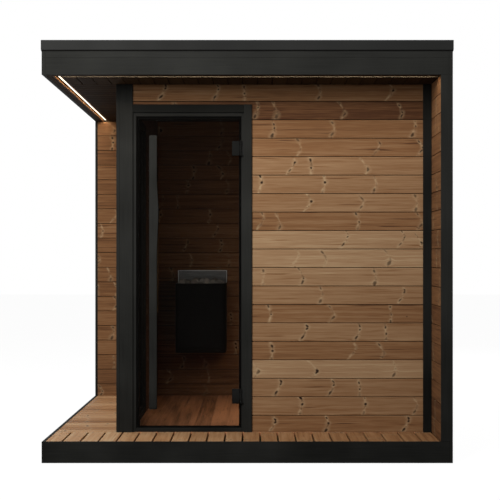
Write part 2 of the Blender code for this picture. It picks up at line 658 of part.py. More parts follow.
def make_stones(x, y, low, corner, look):
    """The heap of stones as one solid: it fills the basin and narrows above the rim."""
    shape = bmesh.new()
    rings = []
    top = HEATER_TOP + STONE_RISE
    levels = ((0.0, low), (0.0, HEATER_TOP), (HEAP_SLOPE / 2, top - STONE_RISE / 4), (HEAP_SLOPE, top))
    for inset, z in levels:
        points = rounded_rectangle((x[0] + inset, x[1] - inset), (y[0] + inset, y[1] - inset), corner)
        rings.append([shape.verts.new((px, py, z)) for px, py in points])
    shape.faces.new(rings[0])
    shape.faces.new(rings[-1])
    for lower, upper in zip(rings, rings[1:]):
        for number in range(len(lower)):
            following = (number + 1) % len(lower)
            shape.faces.new((lower[number], lower[following], upper[following], upper[number]))
    return add_object("heater_stones", mesh_from("heater_stones", shape), look)


def main():
    clear_scene()
    looks = make_looks()
    make_base(looks)
    make_walls(looks)
    make_trims(looks)
    make_door_frame(looks)
    make_door(looks)
    make_window(looks)
    make_roof(looks)
    make_heater(looks)


main()
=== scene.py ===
"""Looks of an outdoor sauna cabin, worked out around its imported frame.

The file is laid out as a Blender add-on and is run as a script. Units are metres, X runs to the right, Y to
the back and Z up. Boards, trims, glass, lights, roof and heater are surfaces computed with numpy from the
boxes of the frame's nodes. The camera is set for an image of 500 by 500 pixels.
"""

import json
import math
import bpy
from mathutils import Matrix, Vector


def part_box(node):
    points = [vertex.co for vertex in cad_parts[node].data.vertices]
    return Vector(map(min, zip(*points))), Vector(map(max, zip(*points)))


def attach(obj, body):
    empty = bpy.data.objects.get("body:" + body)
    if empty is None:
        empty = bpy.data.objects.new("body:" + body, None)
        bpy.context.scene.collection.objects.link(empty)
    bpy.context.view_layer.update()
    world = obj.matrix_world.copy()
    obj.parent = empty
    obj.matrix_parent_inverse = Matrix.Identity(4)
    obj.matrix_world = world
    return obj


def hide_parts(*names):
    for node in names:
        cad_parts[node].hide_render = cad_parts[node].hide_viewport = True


bl_info = {
    "name": "Outdoor Sauna Cabin",
    "version": (1, 0, 0),
    "blender": (4, 5, 0),
    "location": "3D View > Sidebar > Sauna",
    "description": "Boards, paint, glass, lights and heater of an outdoor sauna cabin",
    "category": "Object",
}

from collections import namedtuple
from functools import partial

import bpy
import numpy as np
from bpy.props import FloatProperty, FloatVectorProperty, IntProperty, PointerProperty, StringProperty

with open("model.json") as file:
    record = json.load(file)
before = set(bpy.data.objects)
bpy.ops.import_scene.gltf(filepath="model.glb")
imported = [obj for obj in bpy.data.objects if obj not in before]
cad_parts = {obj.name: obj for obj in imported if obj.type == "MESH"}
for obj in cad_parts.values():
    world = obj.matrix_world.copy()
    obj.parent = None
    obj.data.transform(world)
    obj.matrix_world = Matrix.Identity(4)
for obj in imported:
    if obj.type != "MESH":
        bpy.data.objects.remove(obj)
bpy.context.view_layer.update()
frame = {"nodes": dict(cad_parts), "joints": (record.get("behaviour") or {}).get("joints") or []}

# points (n, 3), faces: arrays of corner numbers, grain (n, 2): along and across in metres, board (n, 3)
Shape = namedtuple("Shape", "points faces grain board")
Part = namedtuple("Part", "shape look smooth", defaults=(False,))

X, Y, Z = 0, 1, 2
TONES = {"b": -0.4, "d": 0.2, "m": 0.52, "l": 0.87}
ROWS = 24  # more rows of boards than any wall has
HAIR = 0.0003  # metres between faces that would otherwise touch
LIGHT_WALL = 0.0012  # metres, side of the channel that holds a light strip
LOOKS = {}


def linear(text):
    """sRGB hex to linear red, green and blue."""
    values = [int(text[i:i + 2], 16) / 255 for i in (1, 3, 5)]
    return tuple(v / 12.92 if v <= 0.04045 else ((v + 0.055) / 1.055) ** 2.4 for v in values)


def length(name, description, default):
    """A size in metres."""
    return FloatProperty(name=name, description=description, default=default, unit="LENGTH", precision=4)


def number(name, description, default, unit="NONE"):
    """A plain number, or a power in watts."""
    return FloatProperty(name=name, description=description, default=default, unit=unit)


def tint(name, description, default):
    """A colour, written as sRGB hex."""
    return FloatVectorProperty(
        name=name, description=description, default=linear(default), subtype="COLOR", min=0.0, max=1.0
    )


class SaunaBoards(bpy.types.PropertyGroup):
    """Sizes and tones of cladding, decking and soffit boards."""

    cover: length("Wall cover", "Height of one wall board with its joint", 0.108)
    first: length("First joint", "Deck to the first joint of the walls", 0.097)
    first_back: length("First joint at the back", "Deck to the first joint of the back wall", 0.086)
    joint: length("Wall joint", "Open joint between wall boards", 0.0032)
    arris: length("Arris", "Rounding of the board edges", 0.0022)
    cladding: length("Cladding", "Thickness of the outer boards", 0.020)
    lining: length("Lining", "Thickness of the boards inside", 0.015)
    deck_pitch: length("Deck pitch", "Deck board with its gap", 0.100)
    deck_gap: length("Deck gap", "Gap between deck boards", 0.0095)
    deck_joint_x: length("Deck joint", "Place of one joint of the front deck, in X", -0.027)
    soffit_pitch: length("Soffit pitch", "Soffit board with its joint", 0.085)
    soffit_joint: length("Soffit joint", "Open joint between soffit boards", 0.004)
    batten: length("Batten", "Width of the batten beside the light slot", 0.008)
    front_batten: length("Front batten", "Width of the batten behind the front light slot", 0.003)
    light_cover: length("Light cover", "Width of the opal cover of a light strip", 0.0095)
    # The dark boards at the top of this order are partly the boards' own tone and partly painted shade under
    # the roof
    front_order: StringProperty(
        name="Front boards", description="Brown, dark, middle and light boards from the deck up",
        default="dmmldmdmllldmmmddbd",
    )
    # Painted shade: these tones draw whole walls darker where they lie in shade, the right wall most at its
    # foot
    right_foot_tone: number("Right wall tone, foot", "Tone of its lowest inner boards", -0.32)
    right_head_tone: number("Right wall tone, head", "Tone of its highest ones", 0.25)
    left_tone: number("Left wall tone", "Middling tone of its inner boards", -0.6)
    back_tone: number("Back wall tone", "Middling tone of its inner boards", 0.08)
    # Painted light and shade: the front deck is drawn light at its open left end and dark at its right end by
    # the right wall
    deck_left_tone: number("Deck tone, left", "Tone of the front deck's left end", 1.0)
    deck_right_tone: number("Deck tone, right", "Tone of its right end", 0.12)
    seed: IntProperty(name="Lot", description="Draw that picks the tone of each board", default=7, min=0)


class SaunaTrims(bpy.types.PropertyGroup):
    """Sizes of painted trims, frames and metal."""

    arris: length("Arris", "Rounding of painted boards", 0.0018)
    corner_lap: length("Corner lap", "Edge of the side board that shows from the front", 0.019)
    fascia_joint: length("Fascia joint", "Joint between fascia boards", 0.0004)
    jamb: length("Jamb", "Face width of the door jambs", 0.0375)
    head: length("Head", "Face height of the door head", 0.046)
    threshold: length("Threshold", "Height of the threshold", 0.024)
    stop: length("Stop", "Lip behind the door glass", 0.015)
    rebate: length("Rebate", "Depth of the door rebate", 0.016)
    window_member: length("Window member", "Face width of the window frame", 0.038)
    bead: length("Bead", "Width of the glazing beads", 0.012)
    pane: length("Pane", "Thickness of one window pane", 0.004)
    flashing: length("Flashing", "Thickness drawn for the flashing", 0.003)
    # Painted shadow: the black strip under the flashing stands for the drip edge's shadow
    drip: length("Drip edge", "Height of the black seal that shows under the flashing", 0.0055)
    membrane_lap: length("Membrane lap", "Overlap of the roof membrane strips", 0.080)
    membrane_width: length("Membrane strip", "Width of one roof membrane strip", 0.700)


class SaunaDoor(bpy.types.PropertyGroup):
    """Sizes of handles and hinges."""

    belly_from_top: length("Belly from the top", "Top of the handle to its widest point", 0.443)
    belly_upper: length("Belly above", "Length of the belly over its widest point", 0.203)
    belly_lower: length("Belly below", "Length of the belly under its widest point", 0.268)
    belly: length("Belly", "How far the belly stands out", 0.009)
    handle_width: length("Handle width", "Width of the handle away from its belly", 0.045)
    handle_thick: length("Handle thickness", "Thickness of both handles", 0.022)
    stud: length("Stud", "Radius of the handle studs", 0.011)
    stud_from_end: length("Stud place", "Handle end to the stud", 0.160)
    inner_stud_from_end: length("Inner stud place", "Inner handle end to the stud", 0.080)
    knuckle: length("Knuckle", "Radius of the hinge knuckles", 0.006)
    knuckle_height: length("Knuckle height", "Height of the moving knuckle", 0.031)
    hinge_width: length("Hinge width", "Width of the block on the glass", 0.045)
    pin_gap: length("Pin gap", "Clearance between knuckles", 0.001)


class SaunaHeater(bpy.types.PropertyGroup):
    """Sizes of the heater and its stones."""

    corner: length("Corner", "Radius of the casing's corners", 0.030)
    shell: length("Shell", "Width of the casing's rim", 0.020)
    basin: length("Basin", "Depth of the stone basin", 0.080)
    stone: length("Stone", "Radius of a middling stone", 0.034)
    stones: IntProperty(name="Stones", description="Stones that show", default=96, min=8)
    guard_corner: length("Guard corner", "Radius of the guard's top corners", 0.006)
    guard_rim: length("Guard rim", "Width of the folded rim round the guard", 0.005)
    guard_fold: length("Guard fold", "How far the rim stands out", 0.0007)


class SaunaStage(bpy.types.PropertyGroup):
    """Camera, lamps and surroundings."""

    camera_x: length("Camera X", "Camera to the middle of the roof, sideways", 0.0335)
    camera_y: length("Camera Y", "Camera to the middle of the roof", -7.710)
    camera_z: length("Camera Z", "Camera over the ground", 1.129)
    lens: number("Lens", "Focal length in mm on a 36 mm sensor", 85.28)
    shift_x: number("Shift X", "Share of the image width", -0.0066)
    shift_y: number("Shift Y", "Share of the image width", 0.018)
    key_power: number("Key", "Wide tall lamp in front", 455.0, "POWER")
    fill_power: number("Fill", "Lamp on the left", 78.0, "POWER")
    back_power: number("Back", "Lamp behind", 160.0, "POWER")
    side_power: number("Side", "Lamp on the right, behind the front", 130.0, "POWER")
    surround: number("Surround", "Light from all round", 0.05)
    room_power: number("Room", "Lamp in the room, right of the door", 2.3, "POWER")
    floor_power: number("Floor", "Lamp over the room's floor", 2.0, "POWER")
    strip_power: number("Front strip light", "Light of the front strip", 1.5, "POWER")
    side_strip_gain: number("Side strip gain", "Side strip's light for one of the front strip's", 1.8)
    light_strength: number("Strip", "Brightness of the light strips", 2.6)


class SaunaColours(bpy.types.PropertyGroup):
    """Colours of the finishes."""

    pine_dark: tint("Pine, dark", "Darkest boards and late wood", "#4b3121")
    pine_mid: tint("Pine, middle", "Middling boards", "#7a573a")
    pine_light: tint("Pine, light", "Light boards", "#98795a")
    pine_pale: tint("Pine, pale", "Early wood round the knots", "#b59c7a")
    knot: tint("Knot", "Core of the knots", "#23140d")
    # The soffit colours are drawn far darker than the walls' pine: painted shade under the roof
    soffit_dark: tint("Soffit, dark", "Darkest soffit boards", "#1c130c")
    soffit_mid: tint("Soffit, middle", "Middling soffit boards", "#2a1d12")
    soffit_light: tint("Soffit, light", "Light soffit boards", "#38291a")
    deck_dark: tint("Deck, dark", "Darkest deck boards", "#6a482e")
    deck_mid: tint("Deck, middle", "Middling deck boards", "#936c49")
    deck_light: tint("Deck, light", "Light deck boards", "#a98562")
    paint: tint("Black paint", "Painted timber", "#272725")
    metal: tint("Black metal", "Powder coated metal", "#262625")
    enamel: tint("Enamel", "Heater casing", "#0d0c0b")
    floor: tint("Floor", "Middling floor boards", "#a3704e")
    glow: tint("Glow", "Light of the strips", "#ffe8cb")
    stone: tint("Stone", "Heater stones", "#8f8a83")
    batten: tint("Batten", "Battens beside the front light slot", "#5a544b")
    side_batten: tint("Side batten", "Battens beside the side light slot", "#6b4a2c")
    hinge: tint("Hinge", "Hinges and studs", "#141413")
    softwood: tint("Softwood", "Treated joists", "#7d7350")


GROUPS = {
    "sauna_boards": SaunaBoards,
    "sauna_trims": SaunaTrims,
    "sauna_door": SaunaDoor,
    "sauna_heater": SaunaHeater,
    "sauna_stage": SaunaStage,
    "sauna_colours": SaunaColours,
}


def settings(group):
    """The scene's values of one property group."""
    return getattr(bpy.context.scene, group)


def corners(node):
    """Low and high corner of a CAD node, as arrays."""
    low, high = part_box(node)
    return np.array(low), np.array(high)


# Boxes


def level(axis):
    """The other level axis."""
    return Y if axis == X else X


def cut(box, axis, start, end):
    """A box, as its low and high corner, cut to a span of one axis."""
    low, high = (np.array(corner, float) for corner in box)
    low[axis], high[axis] = start, end
    return low, high


def side_by_side(box, axis, starts, ends):
    """Corners of many boxes that differ in their spans of one axis."""
    lows, highs = (np.tile(corner, (len(starts), 1)) for corner in box)
    lows[:, axis], highs[:, axis] = starts, ends
    return lows, highs


def border(low, high, width):
    """Two posts and two rails between them, round a frame that lies across X, as (low, high, axis) bars."""
    (x0, y0, z0), (x1, y1, z1) = low, high
    return [
        ((x0, y0, z0), (x1, y0 + width, z1), Z),
        ((x0, y1 - width, z0), (x1, y1, z1), Z),
        ((x0, y0 + width, z0), (x1, y1 - width, z0 + width), Y),
        ((x0, y0 + width, z1 - width), (x1, y1 - width, z1), Y),
    ]


# Surfaces


def closed_rings(rings):
    """Faces of closed rings of points that stand one after the other, with both ends capped.

    Point p of ring k has the number k times the ring's length plus p. Each quad joins points p and p + 1 of
    a ring to those of the next one. The rings run anticlockwise seen from the far end.
    """
    count, size = rings.shape[:2]
    index = np.arange(count * size).reshape(count, size)
    after = np.roll(index, -1, axis=1)
    quads = np.stack([index[:-1], after[:-1], after[1:], index[1:]], axis=-1).reshape(-1, 4)
    return [quads, index[:1, ::-1], index[-1:]]


def repeated(points, faces):
    """The same faces for each of many shapes, whose points are stacked along the first axis."""
    copies, size = points.shape[:2]
    start = np.arange(copies)[:, None, None] * size
    return [(face[None] + start).reshape(-1, face.shape[1]) for face in faces]


def round_corners(steps):
    """Angle of each point of a rectangle with round corners, and the signs of its corner's place."""
    turn = np.repeat(np.arange(4), steps + 1) + np.tile(np.linspace(0, 1, steps + 1), 4)
    side_u, side_v = np.repeat([1, -1, -1, 1], steps + 1), np.repeat([1, 1, -1, -1], steps + 1)
    return turn * math.pi / 2, side_u, side_v


def rounded_bars(low, high, axis, radius, board=None, steps=2, square=False, start=None):
    """Planed timbers or plates with rounded arrises, one bar for each pair of corners.

    The cross-section is a rectangle whose corners are quarter circles: a point is the circle's centre plus
    the radius times the cosine and sine of its angle. Four such rings stand along the bar, and the outer two
    are drawn in by 0.6 of the radius, which chamfers the ends, unless they are square. The grain map runs
    from the low corner, or from start.
    """
    low, high = np.atleast_2d(low).astype(float), np.atleast_2d(high).astype(float)
    u, v = (axis + 1) % 3, (axis + 2) % 3
    angle, side_u, side_v = round_corners(steps)
    chamfer = 0.0 if square else 0.6
    inset = radius * np.array([chamfer, 0.0, 0.0, chamfer])[:, None]
    middle, half = ((low + high) / 2)[:, None, None], ((high - low) / 2)[:, None, None]
    points = np.empty((len(low), 4, len(angle), 3))
    points[..., u] = middle[..., u] + side_u * (half[..., u] - radius) + np.cos(angle) * (radius - inset)
    points[..., v] = middle[..., v] + side_v * (half[..., v] - radius) + np.sin(angle) * (radius - inset)
    ends = np.stack([low[:, axis], low[:, axis] + radius, high[:, axis] - radius, high[:, axis]], axis=1)
    points[..., axis] = ends[:, :, None]
    faces = repeated(points.reshape(len(low), -1, 3), closed_rings(points[0]))
    from_low = points - (low if start is None else np.atleast_2d(start))[:, None, None]
    grain = np.stack([points[..., axis], from_low[..., u] + from_low[..., v]], axis=-1)
    if board is None:
        board = np.random.default_rng(len(low)).random((len(low), 3))
    spread = np.broadcast_to(board[:, None, None], points.shape)
    return Shape(points.reshape(-1, 3), faces, grain.reshape(-1, 2), spread.reshape(-1, 3))


def softened(section, radius):
    """An outline with each corner cut back by the radius along both of its sides."""
    section = np.asarray(section, float)
    before, after = np.roll(section, 1, axis=0) - section, np.roll(section, -1, axis=0) - section
    before /= np.linalg.norm(before, axis=1, keepdims=True)
    after /= np.linalg.norm(after, axis=1, keepdims=True)
    return np.stack([section + radius * before, section + radius * after], axis=1).reshape(-1, 2)


def carried(section, origin, across, up, along, span, cuts=(0.0, 0.0)):
    """One straight member: a section of (a, b) points carried along a line.

    A point is the origin plus a times across, b times up and s times along. It starts at s = cuts[0] * a and
    ends at s = span - cuts[1] * a, so that a cut of 1 or -1 is a mitre.
    """
    section = np.asarray(section, float)
    across, up, along = (np.asarray(way, float) for way in (across, up, along))
    area = np.sum(section[:, 0] * np.roll(section[:, 1], -1) - section[:, 1] * np.roll(section[:, 0], -1))
    if area * np.dot(np.cross(across, up), along) < 0:
        section = section[::-1]
    base = np.asarray(origin, float) + section[:, :1] * across + section[:, 1:] * up
    starts, ends = cuts[0] * section[:, :1], span - cuts[1] * section[:, :1]
    rings = np.stack([base + starts * along, base + ends * along])
    way = np.stack([np.broadcast_to(starts[:, 0], len(base)), np.broadcast_to(ends[:, 0], len(base))])
    grain = np.stack([way, np.broadcast_to(section.sum(axis=1), way.shape)], axis=-1)
    return Shape(rings.reshape(-1, 3), closed_rings(rings), grain.reshape(-1, 2), plain(rings))


def plain(points):
    """The same board number for a whole shape."""
    return np.full((points.size // 3, 3), 0.5)


def lofted(rings):
    """A solid through rings of points, capped at both ends."""
    flat = rings.reshape(-1, 3)
    return Shape(flat, closed_rings(rings), flat[:, [Z, X]], plain(flat))


def turned(profile, centres, axis, sides=28):
    """Turned pieces: a profile of (radius, along) pairs swung about a line through each centre.

    A point is the centre plus radius times the cosine and sine of its angle across the line, plus along
    times the line's direction.
    """
    profile, centres = np.asarray(profile, float), np.atleast_2d(centres).astype(float)
    u, v = (axis + 1) % 3, (axis + 2) % 3
    angle = np.arange(sides) * 2 * math.pi / sides
    if profile[-1, 1] < profile[0, 1]:
        profile = profile[::-1]
    points = np.repeat(centres[:, None, None], len(profile), axis=1).repeat(sides, axis=2)
    points[..., u] += profile[:, :1] * np.cos(angle)
    points[..., v] += profile[:, :1] * np.sin(angle)
    points[..., axis] += profile[:, 1:]
    faces = repeated(points.reshape(len(centres), -1, 3), closed_rings(points[0]))
    flat = points.reshape(-1, 3)
    return Shape(flat, faces, flat[:, [axis, u]], plain(flat))


def rod(radius, low, high, edge=0.0006):
    """Profile of a rod with chamfered ends."""
    return (radius - edge, low), (radius, low + edge), (radius, high - edge), (radius - edge, high)


def rounded_outline(x, y, radius, steps=6):
    """Points of a rectangle with round corners, anticlockwise: corner centre plus radius times (cos, sin)."""
    angle, side_x, side_y = round_corners(steps)
    centre_x = np.where(side_x > 0, x[1] - radius, x[0] + radius)
    centre_y = np.where(side_y > 0, y[1] - radius, y[0] + radius)
    return np.stack([centre_x + radius * np.cos(angle), centre_y + radius * np.sin(angle)], axis=1)


def split_stones(centres, radii, draw, rows=9, sides=13, planes=14):
    """Split stones: blocks cut by planes.

    On a grid of polar and side angles, the radius in a direction is the least of the planes' distances
    divided by the cosine to their normals. Each stone is then flattened along a direction of its own.
    """
    count, pole, grazing = len(centres), 0.16, 0.12
    nearest, longest, squeezed = 0.72, 1.2, (0.2, 0.42)
    polar = np.linspace(pole, math.pi - pole, rows)[:, None]
    side = np.arange(sides) * 2 * math.pi / sides
    way = np.stack(
        [np.sin(polar) * np.cos(side), np.sin(polar) * np.sin(side), np.cos(polar) + 0 * side], axis=-1
    )[::-1]
    normals = draw.normal(size=(count, planes, 3))
    normals /= np.linalg.norm(normals, axis=-1, keepdims=True)
    distances = draw.uniform(nearest, 1.0, (count, planes))
    facing = np.einsum("rsk,cpk->crsp", way, normals)
    reach = distances[:, None, None] / np.maximum(facing, grazing)
    reach = np.where(facing > grazing, reach, np.inf).min(axis=-1)
    points = way * np.minimum(reach, longest)[..., None]
    flat_way = draw.normal(size=(count, 3))
    flat_way /= np.linalg.norm(flat_way, axis=-1, keepdims=True)
    squeeze = draw.uniform(*squeezed, count)
    along = np.einsum("crsk,ck->crs", points, flat_way) * squeeze[:, None, None]
    points = points - along[..., None] * flat_way[:, None, None]
    points = points * radii[:, None, None, None] + centres[:, None, None]
    faces = repeated(points.reshape(count, -1, 3), closed_rings(points[0]))
    flat = points.reshape(-1, 3)
    board = np.broadcast_to(draw.random((count, 1, 1, 3)), points.shape).reshape(-1, 3)
    return Shape(flat, faces, flat[:, :2], board)


def mirrored(shape, plane_x):
    """A shape reflected in a plane of constant X, with its faces turned back out."""
    points = shape.points * (-1, 1, 1) + (2 * plane_x, 0, 0)
    return Shape(points, [face[:, ::-1] for face in shape.faces], shape.grain, shape.board)


def build(name, parts, body="cabin", stands_for=(), sharp=math.radians(35)):
    """Joins parts into one mesh, with their materials, grain map and board numbers, and sets it on a body."""
    def joined(field):
        return np.concatenate([getattr(part.shape, field) for part in parts]).astype(np.float32)

    points, materials = joined("points"), list(dict.fromkeys(part.look for part in parts))
    rows, start = [], 0
    for part in parts:
        for face in part.shape.faces:
            values = face.shape[1], materials.index(part.look), part.smooth
            rows.append(((face + start).ravel(), *(np.full(len(face), value) for value in values)))
        start += len(part.shape.points)
    corner, sizes, looks, smooth = (np.concatenate(column) for column in zip(*rows))
    corner = corner.astype(np.int32)
    mesh = bpy.data.meshes.new(name)
    mesh.vertices.add(len(points))
    mesh.vertices.foreach_set("co", points.ravel())
    mesh.loops.add(len(corner))
    mesh.loops.foreach_set("vertex_index", corner)
    mesh.polygons.add(len(sizes))
    mesh.polygons.foreach_set("loop_start", np.concatenate([[0], np.cumsum(sizes)[:-1]]).astype(np.int32))
    mesh.polygons.foreach_set("material_index", looks.astype(np.int32))
    mesh.polygons.foreach_set("use_smooth", smooth)
    mesh.update(calc_edges=True)
    if mesh.validate():
        raise RuntimeError(f"{name}: its faces aren't sound")
    mesh.uv_layers.new(name="grain").uv.foreach_set("vector", joined("grain")[corner].ravel())
    board = mesh.attributes.new("board", "FLOAT_VECTOR", "POINT")
    board.data.foreach_set("vector", joined("board").ravel())
    for material in materials:
        mesh.materials.append(material)
    if smooth.any():
        mesh.set_sharp_from_angle(angle=sharp)
    piece = bpy.data.objects.new(name, mesh)
    bpy.context.scene.collection.objects.link(piece)
    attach(piece, body)
    if stands_for:
        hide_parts(*stands_for)


# Materials


def feed(node, links):
    """Links sockets of a node from nodes or their outputs."""
    for key, source in links.items():
        socket = source.outputs[0] if isinstance(source, bpy.types.Node) else source
        node.id_data.links.new(socket, node.inputs[key])


def add_node(tree, kind, values=None, links=None):
    """Adds a shader node, with values by attribute or input and links from nodes or their outputs."""
    node = tree.nodes.new("ShaderNode" + kind)
    for key, value in (values or {}).items():
        if isinstance(key, str) and hasattr(node, key):
            setattr(node, key, value)
        else:
            node.inputs[key].default_value = value
    feed(node, links or {})
    return node


def new_look(name, values):
    """A material whose Principled shader has these plain values, with the shader and its add_node."""
    look = bpy.data.materials.new(name)
    look.use_nodes = True
    shader = look.node_tree.nodes["Principled BSDF"]
    for key, value in values.items():
        shader.inputs[key].default_value = value
    return look, shader, partial(add_node, look.node_tree)


def maths(n, operation, *values):
    """A maths node of numbers, nodes and outputs."""
    plain_values = {place: value for place, value in enumerate(values) if isinstance(value, (int, float))}
    links = {place: value for place, value in enumerate(values) if place not in plain_values}
    return n("Math", {"operation": operation, **plain_values}, links)


def noise(n, vector, scale, detail, **more):
    """Noise on a vector; a scale of three numbers stretches it along the axes."""
    if not isinstance(scale, float):
        vector, scale = n("VectorMath", {"operation": "MULTIPLY", 1: scale}, {0: vector}), 1.0
    return n("TexNoise", {"Scale": scale, "Detail": detail, **more}, {"Vector": vector})


def faded(n, value, start, end, low=0.0, high=1.0, ease="LINEAR"):
    """Runs from low at start to high at end."""
    span = {"From Min": start, "From Max": end, "To Min": low, "To Max": high}
    return n("MapRange", {"interpolation_type": ease, **span}, {"Value": value})


def vector_parts(n, source):
    """The three outputs of a vector, by name."""
    return n("SeparateXYZ", {}, {"Vector": source}).outputs


def object_place(n):
    return n("TexCoord").outputs["Object"]


def ramp(n, stops, source):
    """A colour ramp through (place, colour) stops."""
    node = n("ValToRGB", {}, {"Fac": source})
    elements = node.color_ramp.elements
    while len(elements) < len(stops):
        elements.new(1.0)
    for element, (place, colour) in zip(elements, stops):
        element.position = place
        element.color = (*colour, 1.0)
    return node


def shade(colour, share):
    """A colour made darker or lighter, up to full white."""
    return [min(1.0, c * share) for c in colour]


def overlaid(n, share, under, colour):
    """A plain colour laid over another source by a share."""
    return n("Mix", {"data_type": "RGBA", 7: (*colour, 1.0)}, {0: share, 6: under}).outputs[2]


def relief(n, shader, strength, depth, height):
    """Bump on a shader: depth in metres between the lowest and the highest place."""
    feed(shader, {"Normal": n("Bump", {"Strength": strength, "Distance": depth}, {"Height": height})})


def branch_knots(n, along, across, lot, width):
    """Whorls of branches across each board, as sockets: dark cores, pale wood round them, and bent fibres.

    A Voronoi along the board gives every whorl its place and three draws. A whorl is a line that runs from
    both edges of the board to a rounded point: its place is the slope times the square root of the height
    squared plus 12 mm squared. Two or three cut branches lie along that line.
    """
    spacing, point, waviness, push, halo_share = 0.36, 0.012, 0.014, -0.5, 0.26
    place = maths(n, "MULTIPLY_ADD", along, 1 / spacing, lot)
    cell = n("TexVoronoi", {"voronoi_dimensions": "1D", "Scale": 1.0, "Randomness": 0.9}, {"W": place})
    draws = n("SeparateColor", {}, {"Color": cell.outputs["Color"]})
    red, green, blue = (draws.outputs[name] for name in ("Red", "Green", "Blue"))
    more = n("TexWhiteNoise", {"noise_dimensions": "1D"}, {"W": cell.outputs["W"]})
    more = n("SeparateColor", {}, {"Color": more.outputs["Color"]}).outputs
    vigour = faded(n, more["Red"], 0.0, 1.0, 0.62, 1.0)
    off = maths(n, "MULTIPLY", maths(n, "SUBTRACT", place, cell.outputs["W"]), spacing)
    turn = maths(n, "MULTIPLY_ADD", red, 0.5 * width, 0.28 * width)
    high = maths(n, "SUBTRACT", across, turn)
    reach = maths(n, "SQRT", maths(n, "MULTIPLY_ADD", high, high, point ** 2))
    slope = maths(n, "MULTIPLY_ADD", green, 1.0, 0.1)
    waver = noise(n, n("CombineXYZ", {}, {"X": along, "Y": across, "Z": lot}), 42.0, 2.0)
    off = maths(n, "MULTIPLY_ADD", slope, reach, off)
    off = maths(n, "MULTIPLY_ADD", waver, waviness, off)
    off = maths(n, "SUBTRACT", off, waviness / 2)
    core, halo, pushed = None, None, across
    # Level on the board, its swing with a draw, half the width and height of the cut branch, its own draw
    for base, swing, draw, half, own in (
        (0.74, 0.22, blue, (0.0062, 0.0085), "Green"),
        (0.08, 0.30, green, (0.0078, 0.0125), "Blue"),
        (0.36, 0.34, red, (0.0060, 0.0062), "Red"),
    ):
        rise = maths(n, "SUBTRACT", across, maths(n, "MULTIPLY_ADD", draw, swing * width, base * width))
        spot = n("CombineXYZ", {}, {"X": off, "Y": rise})
        spot = n("VectorMath", {"operation": "MULTIPLY", 1: (1 / half[0], 1 / half[1], 0.0)}, {0: spot})
        far = n("VectorMath", {"operation": "LENGTH"}, {0: spot}).outputs["Value"]
        far = maths(n, "MULTIPLY", far, faded(n, more[own], 0.2, 1.0, 1.4, 0.68))
        dark = faded(n, far, 0.45, 1.3, 1.0, 0.0, "SMOOTHSTEP")
        dark = maths(n, "MULTIPLY", dark, faded(n, more[own], 0.18, 0.42))
        ring = faded(n, far, 0.9, 3.4, 1.0, 0.0, "SMOOTHSTEP")
        pushed = maths(n, "MULTIPLY_ADD", maths(n, "MULTIPLY", ring, rise), push, pushed)
        core = maths(n, "MAXIMUM", core, dark) if core else dark
        halo = maths(n, "MAXIMUM", halo, ring) if halo else ring
    branch = faded(n, maths(n, "ABSOLUTE", off), 0.0, 0.0115, 1.0, 0.0, "SMOOTHSTEP")
    pale = maths(n, "MULTIPLY", branch, faded(n, waver, 0.45, 0.64, 0.0, 0.5))
    pale = maths(n, "MULTIPLY_ADD", halo, halo_share, pale)
    # Bark and resin stain the wood where the streak is broken
    stain = maths(n, "MULTIPLY", faded(n, waver, 0.49, 0.36, 0.0, 0.55), branch)
    core = maths(n, "MAXIMUM", core, stain)
    return maths(n, "MULTIPLY", core, vigour), maths(n, "MULTIPLY", pale, vigour), pushed


def pin_knots(n, along, across, lot):
    """A few small knots between the whorls: dark dots of 5 to 8 mm, one in a hand's length at most."""
    per_metre, least = 7.0, 0.35
    spot = n("CombineXYZ", {}, {"X": along, "Y": across, "Z": lot})
    spot = n("TexVoronoi", {"voronoi_dimensions": "3D", "Scale": per_metre}, {"Vector": spot})
    draw = n("SeparateColor", {}, {"Color": spot.outputs["Color"]})
    inner, outer = 0.0022 * per_metre, 0.0048 * per_metre
    dot = faded(n, spot.outputs["Distance"], inner, outer, 0.85, 0.0, "SMOOTHSTEP")
    return maths(n, "MULTIPLY", dot, maths(n, "GREATER_THAN", draw.outputs["Red"], least))


def pine(name, stops, width, rough, spread, specular=0.12, cloud=(2.2, 9.0, 5.0), mottle=0.18):
    """Heat-treated pine, oiled: brown boards that differ in tone, with level grain and branch whorls.

    The tone on the ramp is a half for a middling board: spread is what the board's own draw adds, mottle what
    broad clouds add. Cloud is how often these come in a metre along, across and from board to board.
    """
    look, shader, n = new_look(name, {"Roughness": rough, "Specular IOR Level": specular})
    draw = vector_parts(n, n("Attribute", {"attribute_name": "board"}).outputs["Vector"])
    at = vector_parts(n, n("UVMap", {"uv_map": "grain"}))
    lot = maths(n, "MULTIPLY", draw["Z"], 97.0)
    core, pale, pushed = branch_knots(n, at["X"], at["Y"], lot, width)
    core = maths(n, "MAXIMUM", core, pin_knots(n, at["X"], at["Y"], lot))
    fibre = n("CombineXYZ", {}, {"X": at["X"], "Y": pushed, "Z": lot})
    # Growth rings cut lengthwise: stripes about 12 mm wide that run on for most of a metre
    rings = noise(n, fibre, (1.5, 70.0, 1.0), 3.0, Roughness=0.62, Distortion=0.35)
    # Single fibres are finer than a pixel, so they are drawn 3 mm wide
    fine = noise(n, fibre, (9.0, 330.0, 1.0), 2.0)
    streak = faded(n, noise(n, fibre, (3.4, 95.0, 3.0), 1.0), 0.65, 0.76)
    ring_share, fine_share, streak_share = 0.66, 0.40, -0.34
    rest = 0.5 - (ring_share + fine_share + spread + mottle) / 2
    tone = maths(n, "MULTIPLY_ADD", draw["X"], spread, rest)
    clouds = noise(n, fibre, cloud, 1.0)
    layers = (rings, ring_share), (fine, fine_share), (clouds, mottle), (streak, streak_share)
    for layer, share in layers:
        tone = maths(n, "MULTIPLY_ADD", layer, share, tone)
    wood = overlaid(n, pale, ramp(n, stops, tone), stops[-1][1])
    feed(shader, {"Base Color": overlaid(n, core, wood, settings("sauna_colours").knot)})
    relief(n, shader, 0.28, 0.0008, maths(n, "MULTIPLY_ADD", rings, 0.5, fine))
    return look


